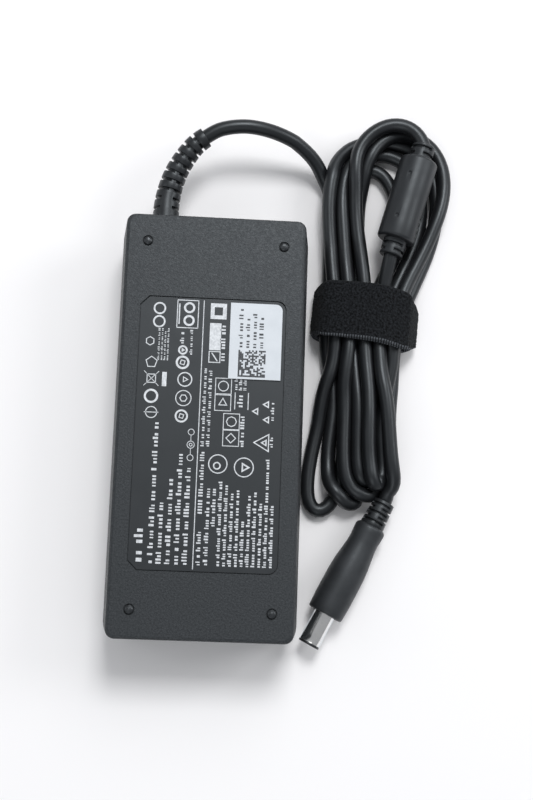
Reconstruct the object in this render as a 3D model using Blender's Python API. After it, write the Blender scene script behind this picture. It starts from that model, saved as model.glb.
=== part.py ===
"""Laptop power adapter: a two-shell desktop power supply with its board and parts inside, an appliance
inlet at one end, and a DC cord that leaves the other end, lies folded in a hank under a hook-and-loop
strap, passes through a ferrite choke and ends in a barrel plug.

Frame: origin at the centre of the case's underside, +Y along the case towards the cord, +Z up.
"""

import math

import bmesh
import bpy
from mathutils import Vector

MM = 0.001
GAP = 0.3 * MM

# Case: a rounded box in two shells, widest at the seam
CASE_LENGTH = 142.6 * MM
CASE_WIDTH = 64.6 * MM
CASE_HEIGHT = 30.0 * MM
CASE_WALL = 2.2 * MM
SIDE_DRAFT = 1.8 * MM
END_DRAFT = 0.5 * MM
EDGE_ROUND = 1.2 * MM
SEAM_CORNER = 5.5 * MM
FACE_CORNER = 3.0 * MM
SEAM_LIP = 1.6 * MM

# Label recess, labels and the four domed feet, all on the label side
LABEL_WIDTH = 48.4 * MM
LABEL_LENGTH = 90.6 * MM
LABEL_SHIFT = -3.2 * MM
LABEL_CORNER = 3.0 * MM
LABEL_THICKNESS = 0.2 * MM
STICKER_WIDTH = 17.6 * MM
STICKER_LENGTH = 24.8 * MM
STICKER_MARGIN = 0.8 * MM
FOOT_RADIUS = 1.55 * MM
FOOT_RISE = 0.9 * MM
FOOT_POCKET = 0.5 * MM
FOOT_SIDE_INSET = 9.3 * MM
FOOT_END_INSET = 10.0 * MM

# Appliance inlet: three round pins in a three-lobed recess
INLET_WIDTH = 22.0 * MM
INLET_HEIGHT = 17.0 * MM
INLET_DEPTH = 18.0 * MM
INLET_RECESS = 13.0 * MM
INLET_LOBE = 4.1 * MM
PIN_PITCH = 10.0 * MM
PIN_RISE = 5.6 * MM
PIN_RADIUS = 1.15 * MM
PIN_SHORT = 2.5 * MM
PIN_TAIL = 2.0 * MM

# Cord, its strain relief in the end wall, and where the two lie. The routes of the cord, hank, strap, choke and
# plug are in millimetres, laid out for these case and cord sizes. They keep their place beside the case's far
# right corner when a size changes.
LAID_OUT_SIDE_X = 32.3 * MM
LAID_OUT_END_Y = 71.3 * MM
LAID_OUT_SEAM = 15.0 * MM
LAID_OUT_DIAMETER = 5.0 * MM
CORD_DIAMETER = 5.0 * MM
RELIEF_INSET = 50.5 * MM
RELIEF_ROOT_RADIUS = CORD_DIAMETER / 2 + 2.2 * MM
RELIEF_TIP_RADIUS = CORD_DIAMETER / 2 + 1.0 * MM
RELIEF_FLANGE_RADIUS = 6.4 * MM
RELIEF_FLANGE_THICKNESS = 1.8 * MM
RELIEF_RINGS = 9
RELIEF_GROOVE = 0.8 * MM
RELIEF_ROUTE = [
    (-18.2, 71, 15), (-18.0, 79, 15), (-17.0, 85, 15.2), (-15.0, 91, 15.8), (-11.7, 96.7, 16.8),
    (-9.1, 100.1, 17.5), (-6.0, 102.7, 18.2),
]
LEAD_ROUTE = [
    (-6.0, 102.7, 18.2), (-0.5, 106.0, 19.0), (7.9, 107.6, 19.3), (16.0, 107.2, 18.2), (24.5, 105.0, 14.8),
    (31.4, 101.9, 10.4), (36.8, 97.1, 7.0),
]
CHOKE_TOP = (73.2, 106.2, 13.0)
CHOKE_BOTTOM = (62.0, 65.2, 12.0)
LOOP_ROUTE = [
    (47.6, 97.5, 8.4), (49.9, 105.7, 9.4), (54.8, 111.9, 10.6), (61.3, 115.2, 11.6), (68.0, 114.2, 12.5),
    (72.2, 110.6, 13.0),
]
CHOKE_EXIT_ROUTE = [(61.2, 61.2, 11.4), (60.6, 58.0, 10.4), (60.2, 55.5, 10.0)]
TAIL_ROUTE = [(64.2, -14.7, 6.9), (63.6, -18.0, 6.6), (62.4, -22.0, 6.5)]

# Hank of folded cord, as the outer shape of its turns
HANK_LOW_LOBE = [
    (40.2, 34.2), (37.2, 15), (34.2, -1), (33.0, -18), (35.0, -26.5), (40.0, -29.5), (49.5, -27.5),
    (55.5, -23.5), (60.5, -14.0), (67.2, -13.0), (67.6, -7.5), (66.6, 1), (65.4, 15), (66.2, 30.4),
]
HANK_HIGH_LOBE = [
    (73.0, 51.6), (78.2, 65.4), (82.6, 79), (84.6, 95.5), (83.0, 105.5), (79.0, 111.3), (71.0, 117.5),
    (63.7, 119.5), (58.0, 118.4), (52.5, 115.2), (46.0, 109.6), (39.6, 98.4), (37.6, 88), (37.6, 78),
    (38.0, 67.5), (39.6, 56.4),
]
HANK_RIDGE = [
    (57.4, 53.4), (55.6, 62), (52.6, 76), (51.0, 88), (50.4, 96.4), (38.9, 96.4), (37.6, 88), (37.6, 78),
    (38.0, 67.5), (39.6, 56.0),
]
HANK_LAYER = CORD_DIAMETER - 0.1 * MM
HANK_HEIGHT = 2 * CORD_DIAMETER
HANK_WAIST_OVERRUN = 2.5 * MM

# Hook-and-loop strap round the hank
STRAP_WIDTH = 20.0 * MM
STRAP_THICKNESS = 2.0 * MM
STRAP_CENTRE = (53.5, 42.8)
STRAP_HALF_WIDTH = 17.2 * MM
STRAP_TURN = -8.0
STRAP_TOP = 14.2 * MM
STRAP_CORNER = 5.8 * MM

# Ferrite choke, moulded over the cord
CHOKE_DIAMETER = 13.6 * MM
CHOKE_LENGTH = 31.0 * MM
CHOKE_NECK_RADIUS = CORD_DIAMETER / 2 + 1.7 * MM
CHOKE_NECK_EDGE = 0.4 * MM
CHOKE_EDGE = 1.4 * MM
CHOKE_END_WALL = 2.2 * MM
FERRITE_WALL = 1.5 * MM

# Barrel plug
PLUG_START = (62.4, -22.0, 6.5)
PLUG_TIP = (37.2, -71.6, 6.6)
BARREL_DIAMETER = 7.4 * MM
BARREL_BORE = 5.9 * MM
BARREL_LENGTH = 11.8 * MM
BARREL_SEAT = 5.0 * MM
LINING_BORE = 4.6 * MM
PLUG_PIN_DIAMETER = 0.7 * MM
PLUG_RELIEF_LENGTH = 9.6 * MM
PLUG_RELIEF_RINGS = 4
PLUG_RELIEF_WALL = 0.9 * MM
PLUG_RELIEF_GROWTH = 0.35 * MM
PLUG_RELIEF_GROOVE = 0.6 * MM
BOOT_WAIST_RADIUS = 5.4 * MM
BOOT_FACE_RADIUS = 6.45 * MM

# Board and the parts on it
BOARD_THICKNESS = 1.6 * MM
BOARD_HEIGHT = 6.0 * MM
BOARD_MARGIN = 1.4 * MM
SPREADER_THICKNESS = 0.6 * MM
LEAD_RADIUS = 0.8 * MM
DC_LEAD_PITCH = 1.7 * MM

CORNER_STEPS = 5
SEAM_HEIGHT = CASE_HEIGHT / 2
END_Y = CASE_LENGTH / 2
SIDE_X = CASE_WIDTH / 2
RELIEF_X = SIDE_X - RELIEF_INSET
CASE_RISE = SEAM_HEIGHT / LAID_OUT_SEAM
CORD_RISE = CORD_DIAMETER / LAID_OUT_DIAMETER


def clear_scene():
    for old in list(bpy.data.objects):
        bpy.data.objects.remove(old)


def finish(name, colour, roughness, metallic=0.0):
    """A Principled material in one colour."""
    made = bpy.data.materials.new(name)
    made.use_nodes = True
    shader = made.node_tree.nodes["Principled BSDF"]
    shader.inputs["Base Color"].default_value = (*colour, 1.0)
    shader.inputs["Roughness"].default_value = roughness
    shader.inputs["Metallic"].default_value = metallic
    return made


def add(name, bm, material, smooth=True):
    """The bmesh as a new object, its faces turned outwards."""
    bmesh.ops.recalc_face_normals(bm, faces=bm.faces)
    mesh = bpy.data.meshes.new(name)
    bm.to_mesh(mesh)
    bm.free()
    mesh.materials.append(material)
    made = bpy.data.objects.new(name, mesh)
    bpy.context.scene.collection.objects.link(made)
    if smooth:
        mesh.shade_smooth()
        mesh.set_sharp_from_angle(angle=math.radians(35))
    return made


def cut(target, cutter, operation="DIFFERENCE"):
    """A Boolean on target; the cutter stays in the scene as a hidden guide."""
    cutter.hide_render = True
    cutter.display_type = "WIRE"
    boolean = target.modifiers.new(operation.title(), "BOOLEAN")
    boolean.operation = operation
    boolean.object = cutter


def rounded_outline(half_x, half_y, radius, z, centre=(0.0, 0.0)):
    """Points of a rounded rectangle at height z, anticlockwise from its +X side."""
    points = []
    for quarter, (sx, sy) in enumerate(((1, 1), (-1, 1), (-1, -1), (1, -1))):
        for step in range(CORNER_STEPS + 1):
            angle = (quarter + step / CORNER_STEPS) * math.pi / 2
            x = centre[0] + sx * (half_x - radius) + radius * math.cos(angle)
            y = centre[1] + sy * (half_y - radius) + radius * math.sin(angle)
            points.append((x, y, z))
    return points


def stacked(loops):
    """A closed body through loops that each have the same number of points, with a flat face at both ends."""
    bm = bmesh.new()
    rings = [[bm.verts.new(point) for point in loop] for loop in loops]
    for low, high in zip(rings, rings[1:]):
        count = len(low)
        for i in range(count):
            bm.faces.new((low[i], low[(i + 1) % count], high[(i + 1) % count], high[i]))
    bm.faces.new(rings[0])
    bm.faces.new(rings[-1])
    return bm


def hooped(loops):
    """A closed ring-shaped body: each loop joins the next and the last joins the first."""
    bm = bmesh.new()
    rings = [[bm.verts.new(point) for point in loop] for loop in loops]
    for near, far in zip(rings, rings[1:] + rings[:1]):
        for i in range(len(near)):
            after = (i + 1) % len(near)
            bm.faces.new((near[i], near[after], far[after], far[i]))
    return bm


def box(low, high):
    """A box between two corners."""
    corners = [(low[0], low[1]), (high[0], low[1]), (high[0], high[1]), (low[0], high[1])]
    return stacked([[(x, y, z) for x, y in corners] for z in (low[2], high[2])])


def prism(outline, low, high):
    """An upright body over a flat outline."""
    return stacked([[(x, y, z) for x, y in outline] for z in (low, high)])


def turned(profile, start, along, sides=24):
    """A body turned about the line from start in the direction along.

    profile lists (distance along the line, radius). A radius of 0 closes an end at a point, and a profile
    whose last point repeats its first is a ring with a bore.
    """
    direction = Vector(along).normalized()
    across = direction.orthogonal().normalized()
    upward = direction.cross(across)
    bm = bmesh.new()
    rings = []
    closed = profile[0] == profile[-1]
    for distance, radius in profile[:-1] if closed else profile:
        centre = Vector(start) + direction * distance
        if radius == 0:
            rings.append([bm.verts.new(centre)])
            continue
        ring = []
        for side in range(sides):
            angle = side * math.tau / sides
            ring.append(bm.verts.new(centre + radius * (across * math.cos(angle) + upward * math.sin(angle))))
        rings.append(ring)
    pairs = list(zip(rings, rings[1:])) + ([(rings[-1], rings[0])] if closed else [])
    for near, far in pairs:
        for side in range(sides):
            after = (side + 1) % sides
            if len(near) == 1:
                bm.faces.new((near[0], far[after], far[side]))
            elif len(far) == 1:
                bm.faces.new((near[side], near[after], far[0]))
            else:
                bm.faces.new((near[side], near[after], far[after], far[side]))
    if not closed:
        for ring in (rings[0], rings[-1]):
            if len(ring) > 1:
                bm.faces.new(ring)
    return bm


def rod(start, end, radius, sides=16):
    """A plain cylinder from start to end."""
    run = Vector(end) - Vector(start)
    return turned([(0.0, radius), (run.length, radius)], start, run, sides)


def smooth_curve(points, spacing):
    """Points about one spacing apart on a Catmull-Rom curve through the given points."""
    ends = [2 * points[0] - points[1], *points, 2 * points[-1] - points[-2]]
    curve = []
    for before, start, end, after in zip(ends, ends[1:], ends[2:], ends[3:]):
        steps = max(2, round((end - start).length / spacing))
        for step in range(steps):
            t = step / steps
            curve.append(
                0.5 * (2 * start + (end - before) * t + (2 * before - 5 * start + 4 * end - after) * t**2
                       + (3 * start - before - 3 * end + after) * t**3)
            )
    return [*curve, points[-1]]


def placed(point, rise=CORD_RISE):
    """A laid-out point in metres, beside the case's far right corner. Its height grows with what bears it."""
    x, y, z = point
    return Vector((x * MM + SIDE_X - LAID_OUT_SIDE_X, y * MM + END_Y - LAID_OUT_END_Y, z * MM * rise))


def placed_route(route, rise=CORD_RISE):
    return [placed(point, rise) for point in route]


def trimmed(points, at_start=0.0, at_end=0.0):
    """The route with its first and last points moved inwards along it."""
    first = points[0] + (points[1] - points[0]).normalized() * at_start
    last = points[-1] + (points[-2] - points[-1]).normalized() * at_end
    return [first, *points[1:-1], last]


def cord_tube(name, points, material):
    """A plain round tube with flat ends along a smooth curve."""
    curve = bpy.data.curves.new(name, "CURVE")
    curve.dimensions = "3D"
    curve.bevel_depth = CORD_DIAMETER / 2
    curve.bevel_resolution = 3
    curve.use_fill_caps = True
    route = smooth_curve(points, 2.4 * CORD_DIAMETER / 2)
    spline = curve.splines.new("POLY")
    spline.points.add(len(route) - 1)
    for point, place in zip(spline.points, route):
        point.co = (*place, 1.0)
    curve.materials.append(material)
    made = bpy.data.objects.new(name, curve)
    bpy.context.scene.collection.objects.link(made)
    return made


def swept(points, radii, sides=14):
    """A round body of changing radius along a curve, with a radius at each of its points."""
    across = (points[1] - points[0]).orthogonal().normalized()
    loops = []
    for i, (point, radius) in enumerate(zip(points, radii)):
        ahead = (points[min(i + 1, len(points) - 1)] - points[max(i - 1, 0)]).normalized()
        across = (across - across.dot(ahead) * ahead).normalized()
        upward = ahead.cross(across)
        turns = [side * math.tau / sides for side in range(sides)]
        loops.append([point + radius * (across * math.cos(turn) + upward * math.sin(turn)) for turn in turns])
    return stacked(loops)


# ---- Case ----


def case_half(z, inset=0.0):
    """Half-width, half-length and corner radius of the drafted wall at height z, inside it by inset."""
    share = abs(z - SEAM_HEIGHT) / (SEAM_HEIGHT - EDGE_ROUND)
    corner = SEAM_CORNER + (FACE_CORNER - SEAM_CORNER) * share
    half_x = SIDE_X - SIDE_DRAFT * share - inset
    half_y = END_Y - END_DRAFT * share - inset
    return half_x, half_y, max(corner - inset, 0.8 * MM)


def wall_loop(z, inset=0.0):
    return rounded_outline(*case_half(z, inset), z)


def edge_loops(side):
    """The rounded edge between a wall and the flat face, for side 1 above the seam and -1 below it."""
    start = SEAM_HEIGHT + side * (SEAM_HEIGHT - EDGE_ROUND)
    half_x, half_y, corner = case_half(start)
    loops = []
    for step in range(1, 4):
        angle = step * math.pi / 6
        pull = EDGE_ROUND * (1 - math.cos(angle))
        rise = EDGE_ROUND * math.sin(angle)
        loops.append(rounded_outline(half_x - pull, half_y - pull, corner - pull * 0.5, start + side * rise))
    return loops


def shell(side, lip, lap_inset):
    """One half of the case, hollow towards the seam, with a lapped edge.

    The inner half of its wall ends at height lip, and the outer half, of thickness lap_inset, at the seam.
    """
    parting = SEAM_HEIGHT + side * GAP / 2
    loops = [
        wall_loop(SEAM_HEIGHT + side * (SEAM_HEIGHT - CASE_WALL), CASE_WALL),
        wall_loop(SEAM_HEIGHT + side * SEAM_LIP * 2, CASE_WALL),
        wall_loop(lip, CASE_WALL),
        wall_loop(lip, lap_inset),
        wall_loop(parting, lap_inset),
        wall_loop(parting),
        wall_loop(SEAM_HEIGHT + side * (SEAM_HEIGHT - EDGE_ROUND)),
    ]
    return stacked(loops + edge_loops(side))


def label_outline(grow=0.0):
    """The label's outline: two corners cut off on its -X side and two rounded on its +X side."""
    half_x = LABEL_WIDTH / 2 + grow
    half_y = LABEL_LENGTH / 2 + grow
    points = []
    for quarter, sy in ((3, -1), (0, 1)):
        for step in range(CORNER_STEPS + 1):
            angle = (quarter + step / CORNER_STEPS) * math.pi / 2
            points.append((half_x - LABEL_CORNER * (1 - math.cos(angle)),
                           LABEL_SHIFT + sy * (half_y - LABEL_CORNER) + LABEL_CORNER * math.sin(angle)))
    points += [(-half_x + LABEL_CORNER, LABEL_SHIFT + half_y), (-half_x, LABEL_SHIFT + half_y - LABEL_CORNER)]
    points += [(-half_x, LABEL_SHIFT - half_y + LABEL_CORNER), (-half_x + LABEL_CORNER, LABEL_SHIFT - half_y)]
    return points


def foot_places():
    x = SIDE_X - FOOT_SIDE_INSET
    y = END_Y - FOOT_END_INSET
    return [(-x, y), (x, y), (-x, -y), (x, -y)]


def build_case(plastic, print_film, white_film):
    tongue = SEAM_HEIGHT + SEAM_LIP
    top = add("label_side_cover", shell(1, tongue + GAP, (CASE_WALL - GAP) / 2), plastic)
    bottom = add("plain_side_cover", shell(-1, tongue, (CASE_WALL + GAP) / 2), plastic)

    recess_floor = CASE_HEIGHT - LABEL_THICKNESS - 2 * GAP + 0.1 * MM
    recess = prism(label_outline(GAP), recess_floor, CASE_HEIGHT + 1 * MM)
    cut(top, add("label_recess_cutter", recess, plastic, smooth=False))
    label_top = recess_floor + GAP + LABEL_THICKNESS
    add("rating_label", prism(label_outline(), recess_floor + GAP, label_top), print_film)

    right = LABEL_WIDTH / 2 - STICKER_MARGIN
    back = LABEL_SHIFT + LABEL_LENGTH / 2 - STICKER_MARGIN
    sticker_low = (right - STICKER_WIDTH, back - STICKER_LENGTH, label_top + GAP)
    sticker_high = (right, back, label_top + GAP + LABEL_THICKNESS)
    add("code_sticker", box(sticker_low, sticker_high), white_film)

    for number, (x, y) in enumerate(foot_places(), 1):
        pocket = rod((x, y, CASE_HEIGHT - FOOT_POCKET), (x, y, CASE_HEIGHT + 1 * MM), FOOT_RADIUS + GAP, 20)
        cut(top, add(f"foot_pocket_cutter_{number}", pocket, plastic))
        base = CASE_HEIGHT - FOOT_POCKET + GAP
        height = FOOT_POCKET - GAP + FOOT_RISE
        dome = [(0.0, FOOT_RADIUS), (height - FOOT_RISE, FOOT_RADIUS)]
        for step in (1, 2):
            angle = step * math.pi / 6
            dome.append((height - FOOT_RISE + FOOT_RISE * math.sin(angle), FOOT_RADIUS * math.cos(angle)))
        dome.append((height, 0.0))
        add(f"foot_{number}", turned(dome, (x, y, base), (0, 0, 1), 20), plastic)
    return top, bottom


# ---- Appliance inlet ----


def pin_places():
    """The three pins in the end wall's plane: line, neutral and earth."""
    low = SEAM_HEIGHT - PIN_RISE / 2
    return {"line": (PIN_PITCH / 2, low), "neutral": (-PIN_PITCH / 2, low), "earth": (0.0, low + PIN_RISE)}


def recess_outline():
    """The recess's three-lobed outline, as the hull of a circle round each pin."""
    pins = pin_places()
    points = []
    for name, first, last in (("line", -90, 30), ("earth", 30, 150), ("neutral", 150, 270)):
        x, z = pins[name]
        for step in range(CORNER_STEPS + 1):
            angle = math.radians(first + (last - first) * step / CORNER_STEPS)
            points.append((x + INLET_LOBE * math.cos(angle), z + INLET_LOBE * math.sin(angle)))
    return points


def build_inlet(top, bottom, moulding, nickel):
    face_y = -END_Y + END_DRAFT + GAP
    half_x = INLET_WIDTH / 2
    low_z = SEAM_HEIGHT - INLET_HEIGHT / 2
    high_z = SEAM_HEIGHT + INLET_HEIGHT / 2
    back_y = face_y + INLET_DEPTH
    socket = add("inlet_socket", box((-half_x, face_y, low_z), (half_x, back_y, high_z)), moulding)
    outline = recess_outline()
    recess = stacked([[(x, y, z) for x, z in outline] for y in (face_y - 1 * MM, face_y + INLET_RECESS)])
    cut(socket, add("inlet_recess_cutter", recess, moulding, smooth=False))
    for name, (x, z) in pin_places().items():
        hole = rod((x, face_y + INLET_RECESS / 2, z), (x, back_y + 1 * MM, z), PIN_RADIUS + GAP, 12)
        cut(socket, add(f"inlet_{name}_hole_cutter", hole, moulding))
        tip = face_y + PIN_SHORT
        profile = [(0.0, PIN_RADIUS * 0.55), (0.7 * MM, PIN_RADIUS), (back_y + PIN_TAIL - tip, PIN_RADIUS)]
        add(f"inlet_pin_{name}", turned(profile, (x, tip, z), (0, 1, 0), 12), nickel)
    low = (-half_x - GAP, -END_Y - 1 * MM, low_z - GAP)
    high = (half_x + GAP, -END_Y + CASE_WALL + 3 * MM, high_z + GAP)
    opening = add("inlet_opening_cutter", box(low, high), moulding, smooth=False)
    cut(top, opening)
    cut(bottom, opening)
    return back_y


# ---- Cord, strain relief, hank and strap ----


def build_relief(top, bottom, rubber):
    """The ringed sleeve, its neck through the end wall and the flange that holds it inside."""
    hole = rod((RELIEF_X, END_Y - CASE_WALL - 3 * MM, SEAM_HEIGHT), (RELIEF_X, END_Y + 2 * MM, SEAM_HEIGHT),
               RELIEF_ROOT_RADIUS + GAP, 24)
    hole_cutter = add("relief_hole_cutter", hole, rubber)
    cut(top, hole_cutter)
    cut(bottom, hole_cutter)

    flange_end = END_Y - CASE_WALL - END_DRAFT - GAP
    flange_start = flange_end - RELIEF_FLANGE_THICKNESS
    centre = Vector((RELIEF_X, 0, SEAM_HEIGHT))
    points = [centre + Vector((0, y, 0)) for y in
              (flange_start, flange_end, flange_end + 0.01 * MM, END_Y + 0.6 * MM)]
    radii = [RELIEF_FLANGE_RADIUS, RELIEF_FLANGE_RADIUS, RELIEF_ROOT_RADIUS, RELIEF_ROOT_RADIUS]
    sleeve = smooth_curve(placed_route(RELIEF_ROUTE, CASE_RISE), 0.4 * MM)
    sleeve = [point for point in sleeve if point.y > END_Y + 1.0 * MM]
    total = len(sleeve) - 1
    steps = 4 * RELIEF_RINGS + 2
    for step in range(steps + 1):
        share = step / steps
        radius = RELIEF_ROOT_RADIUS + (RELIEF_TIP_RADIUS - RELIEF_ROOT_RADIUS) * share
        in_groove = step % 4 in (3, 0) and 0 < step < steps - 1
        points.append(sleeve[round(share * total)])
        radii.append(radius - RELIEF_GROOVE if in_groove else radius)
    add("strain_relief", swept(points, radii), rubber)
    return flange_start


def ring_outline(half_x, low, high, radius):
    """Rounded rectangle in the strap's own X and Z."""
    loop = rounded_outline(half_x, (high - low) / 2, radius, 0.0, (0.0, (high + low) / 2))
    return [(x, z) for x, z, _ in loop]


def strap_loop(shrink, offset):
    """The strap's rounded section, drawn in by shrink, at a distance from its middle along the hank."""
    turn = math.radians(STRAP_TURN)
    along = Vector((math.sin(-turn), math.cos(turn), 0))
    sideways = Vector((math.cos(turn), math.sin(turn), 0))
    centre = placed((*STRAP_CENTRE, 0)) + along * offset
    section = ring_outline(STRAP_HALF_WIDTH - shrink, shrink, STRAP_TOP - shrink, STRAP_CORNER - shrink)
    return [centre + sideways * x + Vector((0, 0, z)) for x, z in section]


def build_strap(fabric):
    """A flat loop of tape round the hank: an outer and an inner rounded section joined across both edges."""
    half = STRAP_WIDTH / 2
    edges = ((0.0, -half), (0.0, half), (STRAP_THICKNESS, half), (STRAP_THICKNESS, -half))
    add("cord_strap", hooped([strap_loop(shrink, offset) for shrink, offset in edges]), fabric)


def build_hank(rubber):
    """The folded turns as one solid: two lobes, the raised run of the turns on the left, and the waist."""

    def block(name, outline, low, high):
        corners = [placed((x, y, 0)) for x, y in outline]
        return add(name, prism([(corner.x, corner.y) for corner in corners], low, high), rubber)

    hank = block("cord_hank", HANK_HIGH_LOBE, 0.0, HANK_LAYER)
    reach = STRAP_WIDTH / 2 + HANK_WAIST_OVERRUN
    waist = stacked([strap_loop(STRAP_THICKNESS + GAP, offset) for offset in (-reach, reach)])
    cut(hank, block("hank_ridge_guide", HANK_RIDGE, HANK_LAYER / 2, HANK_HEIGHT), "UNION")
    cut(hank, block("hank_low_guide", HANK_LOW_LOBE, 0.0, HANK_HEIGHT), "UNION")
    cut(hank, add("hank_waist_guide", waist, rubber), "UNION")


def build_cords(jacket):
    through_choke = [placed(CHOKE_TOP).lerp(placed(CHOKE_BOTTOM), share) for share in (0.0, 0.33, 0.67, 1.0)]
    loop = [*placed_route(LOOP_ROUTE), *through_choke, *placed_route(CHOKE_EXIT_ROUTE)]
    cord_tube("cord_lead", trimmed(placed_route(LEAD_ROUTE, CASE_RISE), 3 * GAP, 0.0), jacket)
    cord_tube("cord_loop", loop, jacket)
    cord_tube("cord_tail", trimmed(placed_route(TAIL_ROUTE), 0.0, 3 * GAP), jacket)


def build_choke(rubber, ferrite):
    """The moulded sleeve, open along its bore, and the ferrite ring inside it."""
    start = placed(CHOKE_BOTTOM)
    run = placed(CHOKE_TOP) - start
    total = run.length
    bore = CORD_DIAMETER / 2 + GAP
    radius = CHOKE_DIAMETER / 2
    neck = CHOKE_NECK_RADIUS
    first = (total - CHOKE_LENGTH) / 2
    last = first + CHOKE_LENGTH
    core_radius = radius - FERRITE_WALL
    core_start = first + CHOKE_END_WALL
    core_end = last - CHOKE_END_WALL
    rim, corner = CHOKE_NECK_EDGE, CHOKE_EDGE
    outside = [
        (0.0, bore), (0.0, neck - rim), (rim, neck), (first, neck), (first, radius - corner),
        (first + 0.4 * corner, radius - 0.35 * corner), (first + corner, radius), (last - corner, radius),
        (last - 0.4 * corner, radius - 0.35 * corner), (last, radius - corner), (last, neck),
        (total - rim, neck), (total, neck - rim), (total, bore),
    ]
    inside = [(core_end, bore), (core_end, core_radius), (core_start, core_radius), (core_start, bore)]
    add("choke_overmould", turned([*outside, *inside, outside[0]], start, run, 24), rubber)
    ring = [(core_start + GAP, bore), (core_start + GAP, core_radius - GAP),
            (core_end - GAP, core_radius - GAP), (core_end - GAP, bore)]
    add("choke_ferrite", turned([*ring, ring[0]], start, run, 20), ferrite)


# ---- Barrel plug ----


def build_plug(rubber, chrome, black, brass):
    start = placed(PLUG_START)
    run = placed(PLUG_TIP, 1.0) - start
    total = run.length
    face = total - BARREL_LENGTH
    shoulder = PLUG_RELIEF_LENGTH
    relief = [(0.0, CORD_DIAMETER / 2 + PLUG_RELIEF_GROOVE)]
    pitch = shoulder / PLUG_RELIEF_RINGS
    for ring in range(PLUG_RELIEF_RINGS):
        near = ring * pitch
        far = near + 0.62 * pitch
        radius = CORD_DIAMETER / 2 + PLUG_RELIEF_WALL + ring * PLUG_RELIEF_GROWTH
        relief += [(near + 0.2 * MM, radius), (far, radius), (far + 0.1 * MM, radius - PLUG_RELIEF_GROOVE)]
    relief.append((shoulder - GAP, radius - PLUG_RELIEF_GROOVE))
    add("plug_relief", turned(relief, start, run, 16), rubber)

    seat = BARREL_DIAMETER / 2 + GAP
    pocket = face - BARREL_SEAT
    waist, rim = BOOT_WAIST_RADIUS, BOOT_FACE_RADIUS
    boot = [
        (shoulder, 0.0), (shoulder, waist - 1.4 * MM), (shoulder + 0.8 * MM, waist - 0.3 * MM),
        (shoulder + 2.0 * MM, waist), (shoulder + 6.0 * MM, waist), (shoulder + 12.0 * MM, rim - 0.2 * MM),
        (face - 1.0 * MM, rim), (face, rim - 0.6 * MM), (face, seat), (pocket, seat), (pocket, 0.0),
    ]
    add("plug_boot", turned(boot, start, run, 24), rubber)

    base = pocket + GAP
    outer = BARREL_DIAMETER / 2
    inner = BARREL_BORE / 2
    sleeve = [(base, inner), (base, outer), (total - 0.4 * MM, outer), (total, outer - 0.3 * MM),
              (total, inner)]
    add("plug_barrel", turned([*sleeve, sleeve[0]], start, run, 24), chrome)
    lining = inner - GAP
    floor = base + 2.0 * MM
    pin = PLUG_PIN_DIAMETER / 2
    cup = [(base, pin + GAP), (base, lining), (total, lining), (total, LINING_BORE / 2),
           (floor, LINING_BORE / 2), (floor, pin + GAP)]
    add("plug_lining", turned([*cup, cup[0]], start, run, 24), black)
    tip = total - 1.5 * MM
    needle = [(base, pin), (tip - 0.4 * MM, pin), (tip, pin * 0.5)]
    add("plug_centre_pin", turned(needle, start, run, 8), brass)


# ---- Board and the parts inside ----


def toroid(centre, outer, inner, height):
    """An upright wound ring with rounded edges."""
    edge = min(height, outer - inner) * 0.25
    profile = [(0.0, inner + edge), (0.0, outer - edge), (edge, outer), (height - edge, outer),
               (height, outer - edge), (height, inner + edge), (height - edge, inner), (edge, inner)]
    return turned([*profile, profile[0]], centre, (0, 0, 1), 20)


def can(centre, radius, height, axis=(0, 0, 1)):
    """An electrolytic capacitor's can with a rolled groove near its base."""
    profile = [(0.0, radius - 0.3 * MM), (0.4 * MM, radius), (2.4 * MM, radius), (2.8 * MM, radius - 0.5 * MM),
               (3.4 * MM, radius - 0.5 * MM), (3.8 * MM, radius), (height - 0.4 * MM, radius),
               (height, radius - 0.4 * MM)]
    return turned(profile, centre, axis, 18)


def disc(centre, axis, radius, thickness, sides):
    """A dipped disc part, thinner at its rim."""
    edge = 0.1 * radius
    profile = [(0.0, radius - edge), (edge, radius), (thickness - edge, radius), (thickness, radius - edge)]
    return turned(profile, centre, axis, sides)


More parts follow.
